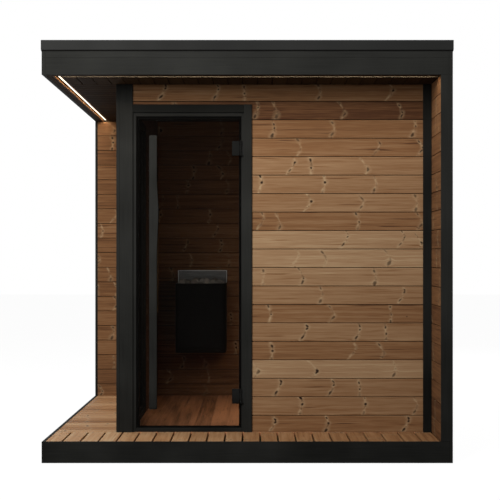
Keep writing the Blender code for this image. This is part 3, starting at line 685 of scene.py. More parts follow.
def black_paint(colour, name="black_linseed_paint"):
    """Black linseed paint on planed pine: nearly matt, with the grain just standing through."""
    look, shader, n = new_look(name, {"Roughness": 0.62, "Specular IOR Level": 0.02})
    at = vector_parts(n, n("UVMap", {"uv_map": "grain"}))
    grain = noise(n, n("CombineXYZ", {}, {"X": at["X"], "Y": at["Y"]}), (4.0, 160.0, 1.0), 3.0)
    place = object_place(n)
    mixed = maths(n, "MULTIPLY_ADD", grain, 0.5, noise(n, place, 3.0, 2.0))
    # Painted shade: the paint is drawn darker over the lowest metre, where less of the lamps' light falls
    painted_low_shade = faded(n, vector_parts(n, place)["Z"], 0.1, 1.0, 0.3, 0.0)
    mixed = maths(n, "SUBTRACT", mixed, painted_low_shade)
    feed(shader, {"Base Color": ramp(n, ((0.15, shade(colour, 0.4)), (0.95, shade(colour, 1.22))), mixed)})
    relief(n, shader, 0.18, 0.0006, grain)
    return look


def speckled(name, colour, rough, grit, depth, specular=0.06, metallic=0.0, spread=0.2):
    """A finish with a fine even grit, on Object coordinates; grit is the speck size in metres."""
    values = {"Roughness": rough, "Metallic": metallic, "Specular IOR Level": specular}
    look, shader, n = new_look(name, values)
    place = object_place(n)
    grains = noise(n, place, 1 / grit, 2.0)
    mixed = maths(n, "MULTIPLY_ADD", grains, 0.5, noise(n, place, 2.5, 2.0))
    stops = (0.5, shade(colour, 1 - spread)), (1.0, shade(colour, 1 + spread))
    feed(shader, {"Base Color": ramp(n, stops, mixed)})
    relief(n, shader, depth, 0.0006, grains)
    return look


def brushed_steel(name="brushed_stainless_steel", dark="#6b6965", light="#8c8a85"):
    """Brushed stainless steel: a grey metal with fine level scratches."""
    look, shader, n = new_look(name, {"Metallic": 1.0, "Roughness": 0.38})
    # Real scratches are about 0.1 mm apart; they are drawn 2 mm apart to show
    lines = noise(n, object_place(n), (14.0, 14.0, 500.0), 2.0)
    feed(shader, {"Base Color": ramp(n, ((0.3, linear(dark)), (0.7, linear(light))), lines)})
    relief(n, shader, 0.1, 0.0003, lines)
    return look


def tinted_glass(name, alpha, colour="#0a0908"):
    """Toughened float glass with a grey-brown tint: dark to look through, clean and flat.

    Each face lets the rest of the alpha through straight, so the room behind is lit through it.
    """
    values = {"Roughness": 0.02, "Alpha": alpha, "IOR": 1.52, "Specular IOR Level": 0.02}
    look, shader, n = new_look(name, values)
    # Toughened glass is very slightly wavy, a few hundredths of a millimetre over a hand's width
    wave = noise(n, object_place(n), 7.0, 0.0)
    stops = (0.3, linear(colour)), (0.7, shade(linear(colour), 1.3))
    feed(shader, {"Base Color": ramp(n, stops, wave)})
    return look


def opal_diffuser(colour, strength):
    """Opal acrylic over a strip of lamps: an even warm white."""
    look, shader, n = new_look("opal_acrylic", {
        "Roughness": 0.4, "Base Color": (*linear("#e8e4da"), 1.0),
        "Emission Color": (*colour, 1.0), "Emission Strength": strength,
    })
    relief(n, shader, 0.1, 0.0002, noise(n, object_place(n), 900.0, 1.0))
    return look


def split_rock(colour):
    """Olivine diabase, split: grey, rough, with pale crystals and darker stones between lighter ones."""
    look, shader, n = new_look("olivine_diabase", {"Roughness": 0.85})
    draw = vector_parts(n, n("Attribute", {"attribute_name": "board"}).outputs["Vector"])
    place = object_place(n)
    crystals = noise(n, place, 260.0, 3.0, Roughness=0.7)
    tone = maths(n, "MULTIPLY_ADD", draw["X"], 0.5, crystals)
    stops = (0.35, shade(colour, 0.35)), (0.75, colour), (1.1, shade(colour, 1.9))
    feed(shader, {"Base Color": ramp(n, stops, tone)})
    relief(n, shader, 0.7, 0.003, maths(n, "MULTIPLY_ADD", crystals, 0.4, noise(n, place, 60.0, 3.0)))
    return look


def look(name):
    """A finish by its plain name, made once."""
    if name in LOOKS:
        return LOOKS[name]
    c, boards = settings("sauna_colours"), settings("sauna_boards")

    def stops(places, colours):
        return tuple(zip(places, colours))

    def shades(colour, places, shares):
        return stops(places, [shade(colour, share) for share in shares])

    walls = stops((0.0, 0.33, 0.70, 1.0), (c.pine_dark, c.pine_mid, c.pine_light, c.pine_pale))
    decks = stops((0.05, 0.45, 0.8, 1.0), (c.deck_dark, c.deck_mid, c.deck_light, c.pine_pale))
    soffits = stops((0.02, 0.45, 0.85, 1.0), (c.soffit_dark, c.soffit_mid, c.soffit_light, c.pine_dark))
    batten, side_batten = (
        shades(colour, (0.2, 0.5, 0.8), (0.7, 1.0, 1.25)) for colour in (c.batten, c.side_batten)
    )
    floors = shades(c.floor, (0.26, 0.5, 0.76), (0.42, 1.0, 1.6))
    cover, pitch = boards.cover, boards.deck_pitch
    black, steel, mat = linear("#0b0a09"), linear("#8f8c84"), linear("#33322f")
    maker, *values = {
        "wall": (pine, "oiled_thermo_pine", walls, cover, 0.58, 0.5),
        # Soffit boards: painted shade carried by their darkened colours
        "soffit": (pine, "dark_oiled_pine", soffits, boards.soffit_pitch, 0.7, 0.4, 0.02),
        "deck": (pine, "thermo_pine_decking", decks, pitch, 0.62, 0.6, 0.12, (3.0, 45.0, 5.0), 0.6),
        "floor": (pine, "oiled_floor_pine", floors, pitch, 0.5, 0.45, 0.12, (1.5, 17.0, 5.0), 0.8),
        "batten": (pine, "pale_pine_batten", batten, cover, 0.6, 0.3, 0.05),
        "side_batten": (pine, "brown_pine_batten", side_batten, cover, 0.6, 0.3, 0.05),
        "paint": (black_paint, c.paint),
        # Painted shade: the same black paint drawn darker, for the strip in the front corner and the casing
        # board under the soffit
        "thick_paint": (black_paint, shade(c.paint, 0.62), "black_linseed_paint_two_coats"),
        "coat": (speckled, "black_powder_coat", c.hinge, 0.5, 0.002, 0.12),
        "sheet": (speckled, "black_coated_steel_sheet", c.metal, 0.45, 0.003, 0.06),
        "screw": (speckled, "zinc_plated_screw", steel, 0.35, 0.001, 0.1, 0.5, 1.0),
        "enamel": (speckled, "black_stove_enamel", c.enamel, 0.42, 0.004, 0.1),
        "membrane": (speckled, "bitumen_roof_membrane", mat, 0.9, 0.004, 0.8, 0.2),
        "underlay": (speckled, "black_breather_membrane", black, 0.9, 0.003, 0.3, 0.1),
        "gasket": (speckled, "black_rubber_seal", linear("#0f0f0e"), 0.7, 0.003, 0.2, 0.2),
        "softwood": (speckled, "treated_softwood", c.softwood, 0.8, 0.012, 0.5, 0.25),
        "steel": (brushed_steel,),
        # Painted highlight: the guard's rim is a steel drawn much paler than the plate
        "rim": (brushed_steel, "bright_steel_edge", "#c9c6c0", "#eceae5"),
        "glass": (tinted_glass, "grey_toughened_glass", 0.24),
        "pane": (tinted_glass, "grey_sealed_unit_glass", 0.38),
        "opal": (opal_diffuser, c.glow, settings("sauna_stage").light_strength),
        "rock": (split_rock, c.stone),
    }[name]
    LOOKS[name] = maker(*values)
    return LOOKS[name]


def dress(node, finish):
    """Gives a CAD node its finish."""
    data = frame["nodes"][node].data
    data.materials.clear()
    data.materials.append(look(finish))


# Boards


def bars_in(finish, radius, bars, smooth=False, **shape):
    """Parts for (low, high, axis) bars of one finish."""
    return [Part(rounded_bars(a, b, axis, radius, **shape), look(finish), smooth) for a, b, axis in bars]


def board_edges(low, high, pitch, joint_at, gap):
    """Low and high edges of the boards that fill a span, with joints at joint_at plus whole pitches."""
    first = math.floor((low - joint_at) / pitch)
    count = math.ceil((high - joint_at) / pitch) - first
    joints = joint_at + pitch * np.arange(first, first + count + 1)
    starts, ends = np.maximum(joints[:-1] + gap / 2, low), np.minimum(joints[1:] - gap / 2, high)
    kept = ends - starts > 2.5 * gap
    return starts[kept], ends[kept]


def sorted_boards(draws, tones, share):
    """Gives the first boards the tones that they were sorted for, with a share of their own draw."""
    draws[:len(tones), 0] = tones + share * (draws[:len(tones), 0] - 0.5)


def wall(nodes, along, seed, first, outside, tones, share=0.12, sorted_side="low"):
    """One wall, with its part over an opening: outer boards, a dark core and inner boards.

    Rows are counted from the deck, and a row keeps its tone and grain from one part to the next. The tones
    hold for the boards on the sorted side.
    """
    sizes, core_gap, slack = settings("sauna_boards"), 0.0005, 0.01
    through = level(along)
    first_joint = corners("deck_front")[1][Z] + first
    thick = {"low": sizes.lining, "high": sizes.lining, outside: sizes.cladding}
    draws = {side: np.random.default_rng((seed, side == "high")).random((ROWS, 3)) for side in thick}
    sorted_boards(draws[sorted_side], tones, share)
    parts = []
    for node in nodes:
        low, high = corners(node)
        starts, ends = board_edges(low[Z], high[Z], sizes.cover, first_joint, sizes.joint)
        rows = np.floor((starts + slack - first_joint) / sizes.cover).astype(int) + 1
        near, far = low[through] + thick["low"], high[through] - thick["high"]
        for side, face, span in (
            ("low", low[through], (low[through], near)), ("high", high[through], (far, high[through]))
        ):
            lows, highs = side_by_side(cut((low, high), through, *span), Z, starts, ends)
            origin = lows.copy()
            origin[:, Z] = first_joint + (rows - 1) * sizes.cover
            origin[:, through] = face
            own = draws[side][rows]
            boards = rounded_bars(lows, highs, along, sizes.arris, own, square=True, start=origin)
            parts.append(Part(boards, look("wall")))
        core = cut((low + sizes.arris, high - sizes.arris), through, near + core_gap, far - core_gap)
        parts += bars_in("underlay", sizes.arris, [(*core, along)])
    build(f"{nodes[0]}_boards", parts, stands_for=nodes)


def deck(node, along, joint_at, seed, gap, finish="deck", arris=0.0028):
    """Deck or floor boards of one node; returns their edges."""
    sizes = settings("sauna_boards")
    box, across = corners(node), level(along)
    edges = board_edges(box[0][across], box[1][across], sizes.deck_pitch, joint_at, gap)
    draws = np.random.default_rng(seed).random((len(edges[0]), 3))
    # Painted light and shade: the front deck's boards run from light at the left end to dark at the right
    if node == "deck_front":
        sorted_boards(draws, np.linspace(sizes.deck_left_tone, sizes.deck_right_tone, len(draws)), 0.3)
    boards = rounded_bars(*side_by_side(box, across, *edges), along, arris, draws)
    build(f"{node}_boards", [Part(boards, look(finish))], stands_for=[node])
    return edges


def screw_heads(name, along, rows, edges, top):
    """Countersunk heads, two to a board on each row."""
    from_edge = 0.018
    places = np.concatenate([edges[0] + from_edge, edges[1] - from_edge])
    centres = np.full((len(rows) * len(places), 3), top)
    centres[:, along] = np.repeat(rows, len(places))
    centres[:, level(along)] = np.tile(places, len(rows))
    profile = ((0.0036, -0.002), (0.0039, 0.0), (0.0036, 0.0003), (0.0017, 0.0003), (0.0014, -0.0008))
    build(name, [Part(turned(profile, centres, Z, 12), look("screw"), True)])


def soffit_layer(node, along, joint_at, seed, batten=None):
    """Level boards of one soffit or ceiling node, with a batten along its low edge on the batten's axis."""
    sizes = settings("sauna_boards")
    low, high = corners(node)
    parts = []
    if batten is not None:
        width, finish = (sizes.front_batten, "batten") if batten == X else (sizes.batten, "side_batten")
        side = level(batten)
        strip = cut((low, high), side, low[side], low[side] + width)
        parts = bars_in(finish, sizes.arris * 0.3, [(*strip, batten)], square=True)
        low[side] += width
    across = level(along)
    edges = board_edges(low[across], high[across], sizes.soffit_pitch, joint_at, sizes.soffit_joint)
    draws = np.random.default_rng(seed).random((len(edges[0]), 3))
    boards = rounded_bars(*side_by_side((low, high), across, *edges), along, sizes.arris, draws)
    build(f"{node}_boards", [*parts, Part(boards, look("soffit"))], stands_for=[node])


def painted(name, bars, node, radius=None, finish="paint"):
    """Painted boards of one node: bars are (low, high, axis) boxes."""
    radius = settings("sauna_trims").arris if radius is None else radius
    build(name, bars_in(finish, radius, bars), stands_for=[node])


# Operators


class SaunaPiece:
    """What every operator of the cabin shares."""

    bl_options = {"REGISTER", "UNDO"}

    def execute(self, context):
        self.make()
        return {"FINISHED"}


class SAUNA_OT_walls(SaunaPiece, bpy.types.Operator):
    """Board the walls outside and inside"""

    bl_idname = "sauna.walls"
    bl_label = "Walls"

    def make(self):
        sizes = settings("sauna_boards")
        front = np.array([TONES[letter] for letter in sizes.front_order])
        # Painted shade: the right wall's inner boards are drawn darker, most at the foot; the left wall's
        # inner boards and the back wall's boards are drawn darker all over
        right = np.linspace(sizes.right_foot_tone, sizes.right_head_tone, ROWS)
        left, back = np.full(ROWS, sizes.left_tone), np.full(ROWS, sizes.back_tone)
        wall(["front_wall", "front_wall_header"], X, sizes.seed, sizes.first, "low", front)
        wall(["left_wall", "left_wall_header"], Y, sizes.seed + 1, sizes.first, "low", left, 0.3, "high")
        wall(["right_wall"], Y, sizes.seed + 3, sizes.first, "high", right, 0.3)
        wall(["back_wall"], X, sizes.seed + 4, sizes.first_back, "high", back, 0.35)


class SAUNA_OT_decks(SaunaPiece, bpy.types.Operator):
    """Lay the deck of both porches and the floor of the room"""

    bl_idname = "sauna.decks"
    bl_label = "Decks and floor"

    def make(self):
        sizes, joist, near_wall = settings("sauna_boards"), 0.022, 0.012
        low, high = corners("deck_front")
        edges = deck("deck_front", Y, sizes.deck_joint_x, sizes.seed + 5, sizes.deck_gap)
        screw_heads("deck_front_screws", Y, (low[Y] + joist, high[Y] - near_wall), edges, high[Z])
        top = high[Z]
        low, high = corners("deck_side")
        edges = deck("deck_side", X, low[Y], sizes.seed + 6, sizes.deck_gap)
        screw_heads("deck_side_screws", X, (low[X] + joist, high[X] - joist), edges, top)
        deck("floor", Y, sizes.deck_joint_x, sizes.seed + 7, 0.0005, "floor", 0.0005)
        for node in frame["nodes"]:
            if node.startswith("joist_"):
                dress(node, "softwood")


class SAUNA_OT_soffits(SaunaPiece, bpy.types.Operator):
    """Board the soffit of both porches and the ceiling"""

    bl_idname = "sauna.soffits"
    bl_label = "Soffits and ceiling"

    def make(self):
        sizes, slot, wider = settings("sauna_boards"), 0.009, 1.4
        side_y = corners("soffit_side")[0][Y]
        soffit_layer("soffit_front", Y, sizes.deck_joint_x, sizes.seed + 8, X)
        soffit_layer("soffit_side", X, side_y, sizes.seed + 9, Y)
        soffit_layer("ceiling", X, side_y, sizes.seed + 10)
        low, high = corners("soffit_edge")
        left, front = corners("light_side")[0][X] - slot, corners("light_front")[0][Y] - slot
        inner_left, inner_front = left - wider * sizes.batten, front - sizes.batten
        parts = []
        for a, b, axis, finish in (
            (low, (high[X], inner_front - HAIR, high[Z]), X, "soffit"),
            ((low[X], inner_front, low[Z]), (inner_left - HAIR, high[Y], high[Z]), Y, "soffit"),
            ((inner_left, inner_front, low[Z]), (high[X], front, high[Z]), X, "batten"),
            ((inner_left, front + HAIR, low[Z]), (left, high[Y], high[Z]), Y, "side_batten"),
        ):
            parts += bars_in(finish, sizes.arris * 0.4, [(a, b, axis)], steps=1, square=True)
        build("soffit_edge_boards", parts, stands_for=["soffit_edge"])
        dress("roof_core", "underlay")


class SAUNA_OT_trims(SaunaPiece, bpy.types.Operator):
    """Fix the painted skirts, corner boards, strips and fascias"""

    bl_idname = "sauna.trims"
    bl_label = "Painted trims"

    def make(self):
        sizes = settings("sauna_trims")
        for node in (
            "corner_post", "right_front_trim", "inner_corner_strip", "back_left_trim", "back_right_trim"
        ):
            # The strip in the corner by the right wall gets the darker paint, painted shade of the corner
            finish = "thick_paint" if node == "inner_corner_strip" else "paint"
            painted(f"{node}_board", [(*corners(node), Z)], node, finish=finish)
        self.corner(sizes)
        for side, axis in (("front", X), ("back", X), ("left", Y), ("right", Y)):
            self.level_board(f"skirt_{side}", axis, 1, sizes)
            self.level_board(f"fascia_{side}", axis, 2, sizes)

    def corner(self, sizes):
        """Side board, the strip of its edge that shows from the front, and the front board."""
        low, high = corners("corner_trim")
        wall_face, side_face = corners("deck_front")[1][Y], corners("deck_side")[1][X]
        lap = low[X] + sizes.corner_lap
        bars = [
            (low + (0, wall_face - low[Y], 0), (side_face, high[Y], high[Z]), Z),
            (low, (lap, wall_face, high[Z]), Z),
            ((lap, low[Y], low[Z]), (high[X], wall_face, high[Z]), Z),
        ]
        painted("corner_trim_boards", bars, "corner_trim")

    def level_board(self, node, axis, rows, sizes):
        """Boards one over the other, with the ends of the side boards showing at the front and back."""
        low, high = corners(node)
        joint, thick = sizes.fascia_joint, high[Y] - low[Y]
        step = (high[Z] - low[Z] - (rows - 1) * joint) / rows
        end = np.array((thick + joint, 0, 0))
        bars = []
        for row in range(rows):
            bottom = low[Z] + row * (step + joint)
            a, b = cut((low, high), Z, bottom, bottom + step)
            bars += [(a, b, Y)] if axis == Y else [
                (a + end, b - end, X),
                (a, (a[X] + thick, b[Y], b[Z]), Z),
                ((b[X] - thick, a[Y], a[Z]), b, Z),
            ]
        painted(f"{node}_boards", bars, node, sizes.arris * 0.5)


class SAUNA_OT_door_frame(SaunaPiece, bpy.types.Operator):
    """Fit the rebated door frame, its seal and its casing"""

    bl_idname = "sauna.door_frame"
    bl_label = "Door frame"

    def make(self):
        sizes = settings("sauna_trims")
        low, high = corners("door_frame")
        depth, inner = high[Y] - low[Y], low[X] + sizes.jamb
        sill_top = corners("deck_front")[1][Z] + sizes.threshold
        section = self.rebated(sizes.jamb, depth, sizes)
        left = carried(section, low, (1, 0, 0), (0, 1, 0), (0, 0, 1), high[Z] - low[Z])
        section = self.rebated(sizes.head, depth, sizes)
        clear = high[X] - low[X] - 2 * sizes.jamb
        top = carried(section, (inner, low[Y], high[Z]), (0, 0, -1), (0, 1, 0), (1, 0, 0), clear)
        sill_high = (high[X] - sizes.jamb, high[Y], sill_top)
        bottom = rounded_bars((inner, low[Y], low[Z]), sill_high, X, sizes.arris * 1.6)
        shapes = (left, mirrored(left, (low[X] + high[X]) / 2), top, bottom)
        parts = [Part(shape, look("paint")) for shape in shapes]
        parts += self.seal(low, high, inner, sizes, sill_top)
        build("door_frame_members", parts, stands_for=["door_frame"])
        self.casing(sizes)

    def rebated(self, width, depth, sizes):
        """Section of a jamb or the head, with the step that the door closes against."""
        lip, step = width + sizes.stop, sizes.rebate
        section = (0, 0), (width, 0), (width, step), (lip, step), (lip, depth), (0, depth)
        return softened(section, sizes.arris)

    def seal(self, low, high, inner, sizes, sill_top):
        """Flat rubber seal over the stop behind the glass, and black cover plates on the threshold."""
        thick, margin, back = 0.0022, 0.001, 0.004
        face, mirror = low[Y] + sizes.rebate, low[X] + high[X]
        near, far = inner + margin, inner + sizes.stop - margin
        head = high[Z] - sizes.head
        low_z, high_z = sill_top - margin, sill_top + 2 * margin
        return bars_in("underlay", 0.0009, [
            ((near, face - thick, sill_top), (far, face, head - margin), Z),
            ((mirror - far, face - thick, sill_top), (mirror - near, face, head - margin), Z),
            ((far, face - thick, head - sizes.stop + margin), (mirror - far, face, head - margin), X),
            ((near, low[Y] + back, low_z), (mirror - near, face - thick, high_z), X),
            ((far + margin, face, low_z), (mirror - far - margin, high[Y] - back, high_z), X),
        ])

    def casing(self, sizes):
        """Upright board beside the door, and a level one over it."""
        low, high = corners("door_casing")
        width = high[X] - corners("hinge_bracket_top")[1][X] - HAIR
        side = (high[X] - width, low[Y], low[Z]), high, Z
        top = (low[X], low[Y], high[Z] - width), (high[X] - width, high[Y], high[Z]), X
        # The level board under the soffit gets the darker paint, painted shade under the roof
        parts = bars_in("paint", sizes.arris, [side]) + bars_in("thick_paint", sizes.arris, [top])
        build("door_casing_boards", parts, stands_for=["door_casing"])


class SAUNA_OT_glazing(SaunaPiece, bpy.types.Operator):
    """Fit the door glass, the window frame and its sealed unit"""

    bl_idname = "sauna.glazing"
    bl_label = "Glass and window"

    def make(self):
        sizes, spacer = settings("sauna_trims"), 0.011
        leaf = bars_in("glass", 0.0012, [(*corners("door_glass"), Z)], steps=3)
        build("door_glass_leaf", leaf, "door", ["door_glass"])
        self.window_frame(sizes)
        box = corners("window_glass")
        (low, *_), (high, *_) = box
        outer, inner = low + sizes.pane, high - sizes.pane
        panes = [(*cut(box, X, *span), Z) for span in ((low, outer), (inner, high))]
        parts = bars_in("pane", 0.0006, panes)
        parts += bars_in("gasket", 0.001, border(*cut(box, X, outer, inner), spacer))
        build("window_sealed_unit", parts, stands_for=["window_glass"])

    def window_frame(self, sizes):
        """Posts, head and sill with a bead on both sides of the sealed unit."""
        low, high = corners("window_frame")
        glass_low, glass_high = corners("window_glass")
        member, bead = sizes.window_member, sizes.bead
        bars = border(low, high, member)
        clear = low + (0, member, member), high - (0, member, member)
        for span in (
            (glass_low[X] - bead, glass_low[X] - HAIR), (glass_high[X] + HAIR, glass_high[X] + bead)
        ):
            bars += border(*cut(clear, X, *span), bead)
        painted("window_frame_members", bars, "window_frame")


class SAUNA_OT_hinges(SaunaPiece, bpy.types.Operator):
    """Fit both hinges: block and knuckle on the glass, plate and eyes on the frame"""

    bl_idname = "sauna.hinges"
    bl_label = "Hinges"

    def make(self):
        sizes = settings("sauna_door")
        axis_x, axis_y, _ = frame["joints"][0]["pos_m"]
        for end in ("top", "bottom"):
            self.block(end, sizes, axis_x, axis_y)
            self.bracket(end, sizes, axis_x, axis_y)

    def block(self, end, sizes, axis_x, axis_y):
        """The moving block: two clamped plates in one, socket screws, a web and the knuckle."""
        low, high = corners(f"door_hinge_{end}")
        middle, right = (low[Z] + high[Z]) / 2, low[X] + sizes.hinge_width
        apart = 0.026
        screws = [((low[X] + right) / 2, low[Y], middle + rise) for rise in (-apart, apart)]
        socket = ((0.0026, 0.0026), (0.0026, 0.0002), (0.0060, 0.0002), (0.0066, 0.0008), (0.0066, 0.004))
        r, half = sizes.knuckle, sizes.knuckle_height / 2
        deep = r * 0.6
        web = (right - r, axis_y - deep, middle - half), (axis_x, axis_y + deep, middle + half), X
        plate = low, (right, high[Y], high[Z]), Z
        knuckle = turned(rod(r, -half, half), [(axis_x, axis_y, middle)], Z)
        parts = [
            *bars_in("coat", 0.0025, [plate], smooth=True, steps=4),
            Part(turned(socket, screws, Y, 18), look("gasket"), True),
            *bars_in("coat", 0.0008, [web]),
            Part(knuckle, look("coat"), True),
        ]
        build(f"door_hinge_{end}_block", parts, "door", [f"door_hinge_{end}"])

    def bracket(self, end, sizes, axis_x, axis_y):
        """The fixed plate with an eye above and one below the moving knuckle."""
        low, high = corners(f"hinge_bracket_{end}")
        middle, r = (low[Z] + high[Z]) / 2, sizes.knuckle
        thick, overlap = 0.008, 0.002
        plate_left = axis_x + r + sizes.pin_gap
        half = sizes.knuckle_height / 2 + sizes.pin_gap
        plate = (plate_left, high[Y] - thick, low[Z]), high, Z
        parts = bars_in("sheet", 0.0012, [plate], smooth=True, steps=3)
        for low_z, high_z in ((low[Z], middle - half), (middle + half, high[Z])):
            eye = turned(rod(r, low_z, high_z), [(axis_x, axis_y, 0)], Z)
            ear = (axis_x + r / 2, axis_y, low_z), (plate_left + overlap, high[Y], high_z), Z
            parts += [Part(eye, look("coat"), True), *bars_in("coat", 0.0006, [ear])]
        build(f"hinge_bracket_{end}_plate", parts, stands_for=[f"hinge_bracket_{end}"])


class SAUNA_OT_handles(SaunaPiece, bpy.types.Operator):
    """Fit the long outer handle and the short inner one"""

    bl_idname = "sauna.handles"
    bl_label = "Handles"

    def make(self):
        sizes = settings("sauna_door")
        glass_low, glass_high = corners("door_glass")
        low, high = corners("door_handle")
        width, thick, inset = sizes.handle_width, sizes.handle_thick, 0.002
        low[X] += inset
        grip = self.grip(low[X], low[X] + width, low[Y], low[Z], high[Z], sizes, sizes.belly)
        levels = low[Z] + sizes.stud_from_end, high[Z] - sizes.stud_from_end
        hold = low[Y] + thick * 0.6
        studs = self.studs(low[X] + width / 2, glass_low[Y] - HAIR, hold, levels, sizes)
        parts = [Part(grip, look("paint"), True), Part(studs, look("coat"), True)]
        build("door_handle_outer_grip", parts, "door", ["door_handle"])
        low, high = corners("door_handle_inner")
        face = high[Y] - thick
        grip = self.grip(low[X], high[X], face, low[Z], high[Z], sizes, 0.0)
        levels = low[Z] + sizes.inner_stud_from_end, high[Z] - sizes.inner_stud_from_end
        hold = face + 0.008
        studs = self.studs((low[X] + high[X]) / 2, glass_high[Y] + HAIR, hold, levels, sizes)
        parts = [Part(grip, look("wall"), True), Part(studs, look("coat"), True)]
        build("door_handle_inner_grip", parts, "door", ["door_handle_inner"])

    def studs(self, x, glass, hold, levels, sizes):
        """Studs from the glass into the grip, each with a round plate against the glass."""
        r, plate = sizes.stud, sizes.stud * 1.3
        out = math.copysign(1, hold - glass)
        profile = (plate, glass), (plate, glass + out * 0.0018), (r, glass + out * 0.002), (r, hold)
        return turned(profile, [(x, 0, z) for z in levels], Y)

    def grip(self, left, right, face, bottom, top, sizes, belly):
        """A board on edge whose right side swells in one cosine wave round its widest point.

        Its rings are rounded rectangles at 90 heights; the first and last ones are drawn in by the radius.
        """
        radius, count = 0.004, 90
        end_inset = radius * 0.7
        angle, side_x, side_y = round_corners(4)
        z = np.concatenate([[bottom], np.linspace(bottom + radius, top - radius, count), [top]])[:, None]
        shrink = np.concatenate([[end_inset], np.zeros(count), [end_inset]])[:, None]
        peak = top - sizes.belly_from_top
        reach = np.where(z > peak, sizes.belly_upper, sizes.belly_lower)
        share = np.clip((z - peak) / reach, -1, 1)
        out = belly * (1 + np.cos(math.pi * share)) / 2
        half, half_y = (right + out - left) / 2, sizes.handle_thick / 2
        x = left + half + side_x * (half - radius) + np.cos(angle) * (radius - shrink)
        y = face + half_y + side_y * (half_y - radius) + np.sin(angle) * (radius - shrink)
        shape = lofted(np.stack([x, y, z + 0 * x], axis=-1))
        return shape._replace(grain=np.stack([shape.points[:, Z], shape.points[:, X] - left], axis=1))


class SAUNA_OT_lights(SaunaPiece, bpy.types.Operator):
    """Fit the light strips in the slot of the soffit"""

    bl_idname = "sauna.lights"
    bl_label = "Light strips"

    def make(self):
        height, cover_thick, stands_out = 0.0055, 0.003, 0.0006
        for node, axis in (("light_side", Y), ("light_front", X)):
            low, high = corners(node)
            low[Z] = high[Z] - height
            box, across = (low, high), level(axis)
            near = low[across] + LIGHT_WALL
            far = near + settings("sauna_boards").light_cover
            inside = cut(box, across, near, far)
            bars = [
                (*cut(box, across, low[across], near), axis),
                (*cut(box, across, far, high[across]), axis),
                (*cut(inside, Z, high[Z] - LIGHT_WALL, high[Z]), axis),
            ]
            opal = (*cut(inside, Z, low[Z] - stands_out, low[Z] + cover_thick), axis)
            parts = bars_in("coat", 0.0003, bars) + bars_in("opal", 0.0012, [opal], steps=3)
            build(f"{node}_strip", parts, stands_for=[node])


class SAUNA_OT_roof(SaunaPiece, bpy.types.Operator):
    """Lay the roof membrane and fit the edge flashings"""

    bl_idname = "sauna.roof"
    bl_label = "Roof and flashing"

    def make(self):
        sizes = settings("sauna_trims")
        low, high = corners("roof_sheet")
        lap, pitch = sizes.membrane_lap, sizes.membrane_width
        starts = np.arange(low[Y], high[Y] - lap, pitch)
        fronts, backs = np.maximum(starts - lap, low[Y]), np.minimum(starts + pitch, high[Y])
        lows, highs = side_by_side((low, high), Y, fronts, backs)
        # Every second strip laps 2.2 mm over its neighbours
        over = 0.0022
        lift = over * (np.arange(len(starts)) % 2)
        lows[:, Z] += lift
        highs[:, Z] += lift
        parts = bars_in("membrane", 0.0012, [(lows, highs, X)])
        build("roof_membrane_strips", parts, stands_for=["roof_sheet"])
        for side, out in (("front", (0, -1)), ("right", (1, 0)), ("back", (0, 1)), ("left", (-1, 0))):
            self.flashing(side, out, sizes)

    def flashing(self, side, out, sizes):
        """Bent sheet with rounded folds, mitred at the corners: outer leaf, top and a leaf inside."""
        low, high = corners(f"flashing_{side}")
        out = np.array([*out, 0.0])
        along = np.cross((0, 0, 1), out)
        face = np.where(out > 0, high, low) @ np.abs(out)
        width, half = np.abs(high - low) @ np.abs(out), (np.abs(high - low) @ np.abs(along)) / 2
        thick, fold, mitre_gap = sizes.flashing, 0.0009, 0.0002
        top, edge, sheet_low = high[Z], low[Z] + sizes.drip, corners("roof_sheet")[1][Z] + HAIR
        section = softened(
            (
                (0, edge), (0, top), (-width, top), (-width, sheet_low), (thick - width, sheet_low),
                (thick - width, top - thick), (-thick, top - thick), (-thick, edge),
            ),
            fold,
        )
        # A black strip behind the drip edge, drawn as a foam seal, paints the shadow under the drip edge as a
        # black line
        foot = low[Z] - 0.001
        seal = ((-0.0012, foot), (-0.0012, edge), (-0.0038, edge), (-0.0038, foot))
        origin = out * abs(face) - along * (half - mitre_gap)
        parts = []
        for outline, finish in ((section, "sheet"), (seal, "underlay")):
            shape = carried(outline, origin, out, (0, 0, 1), along, 2 * half - 2 * mitre_gap, (-1, -1))
            parts.append(Part(shape, look(finish)))
        build(f"flashing_{side}_sheet", parts, stands_for=[f"flashing_{side}"])


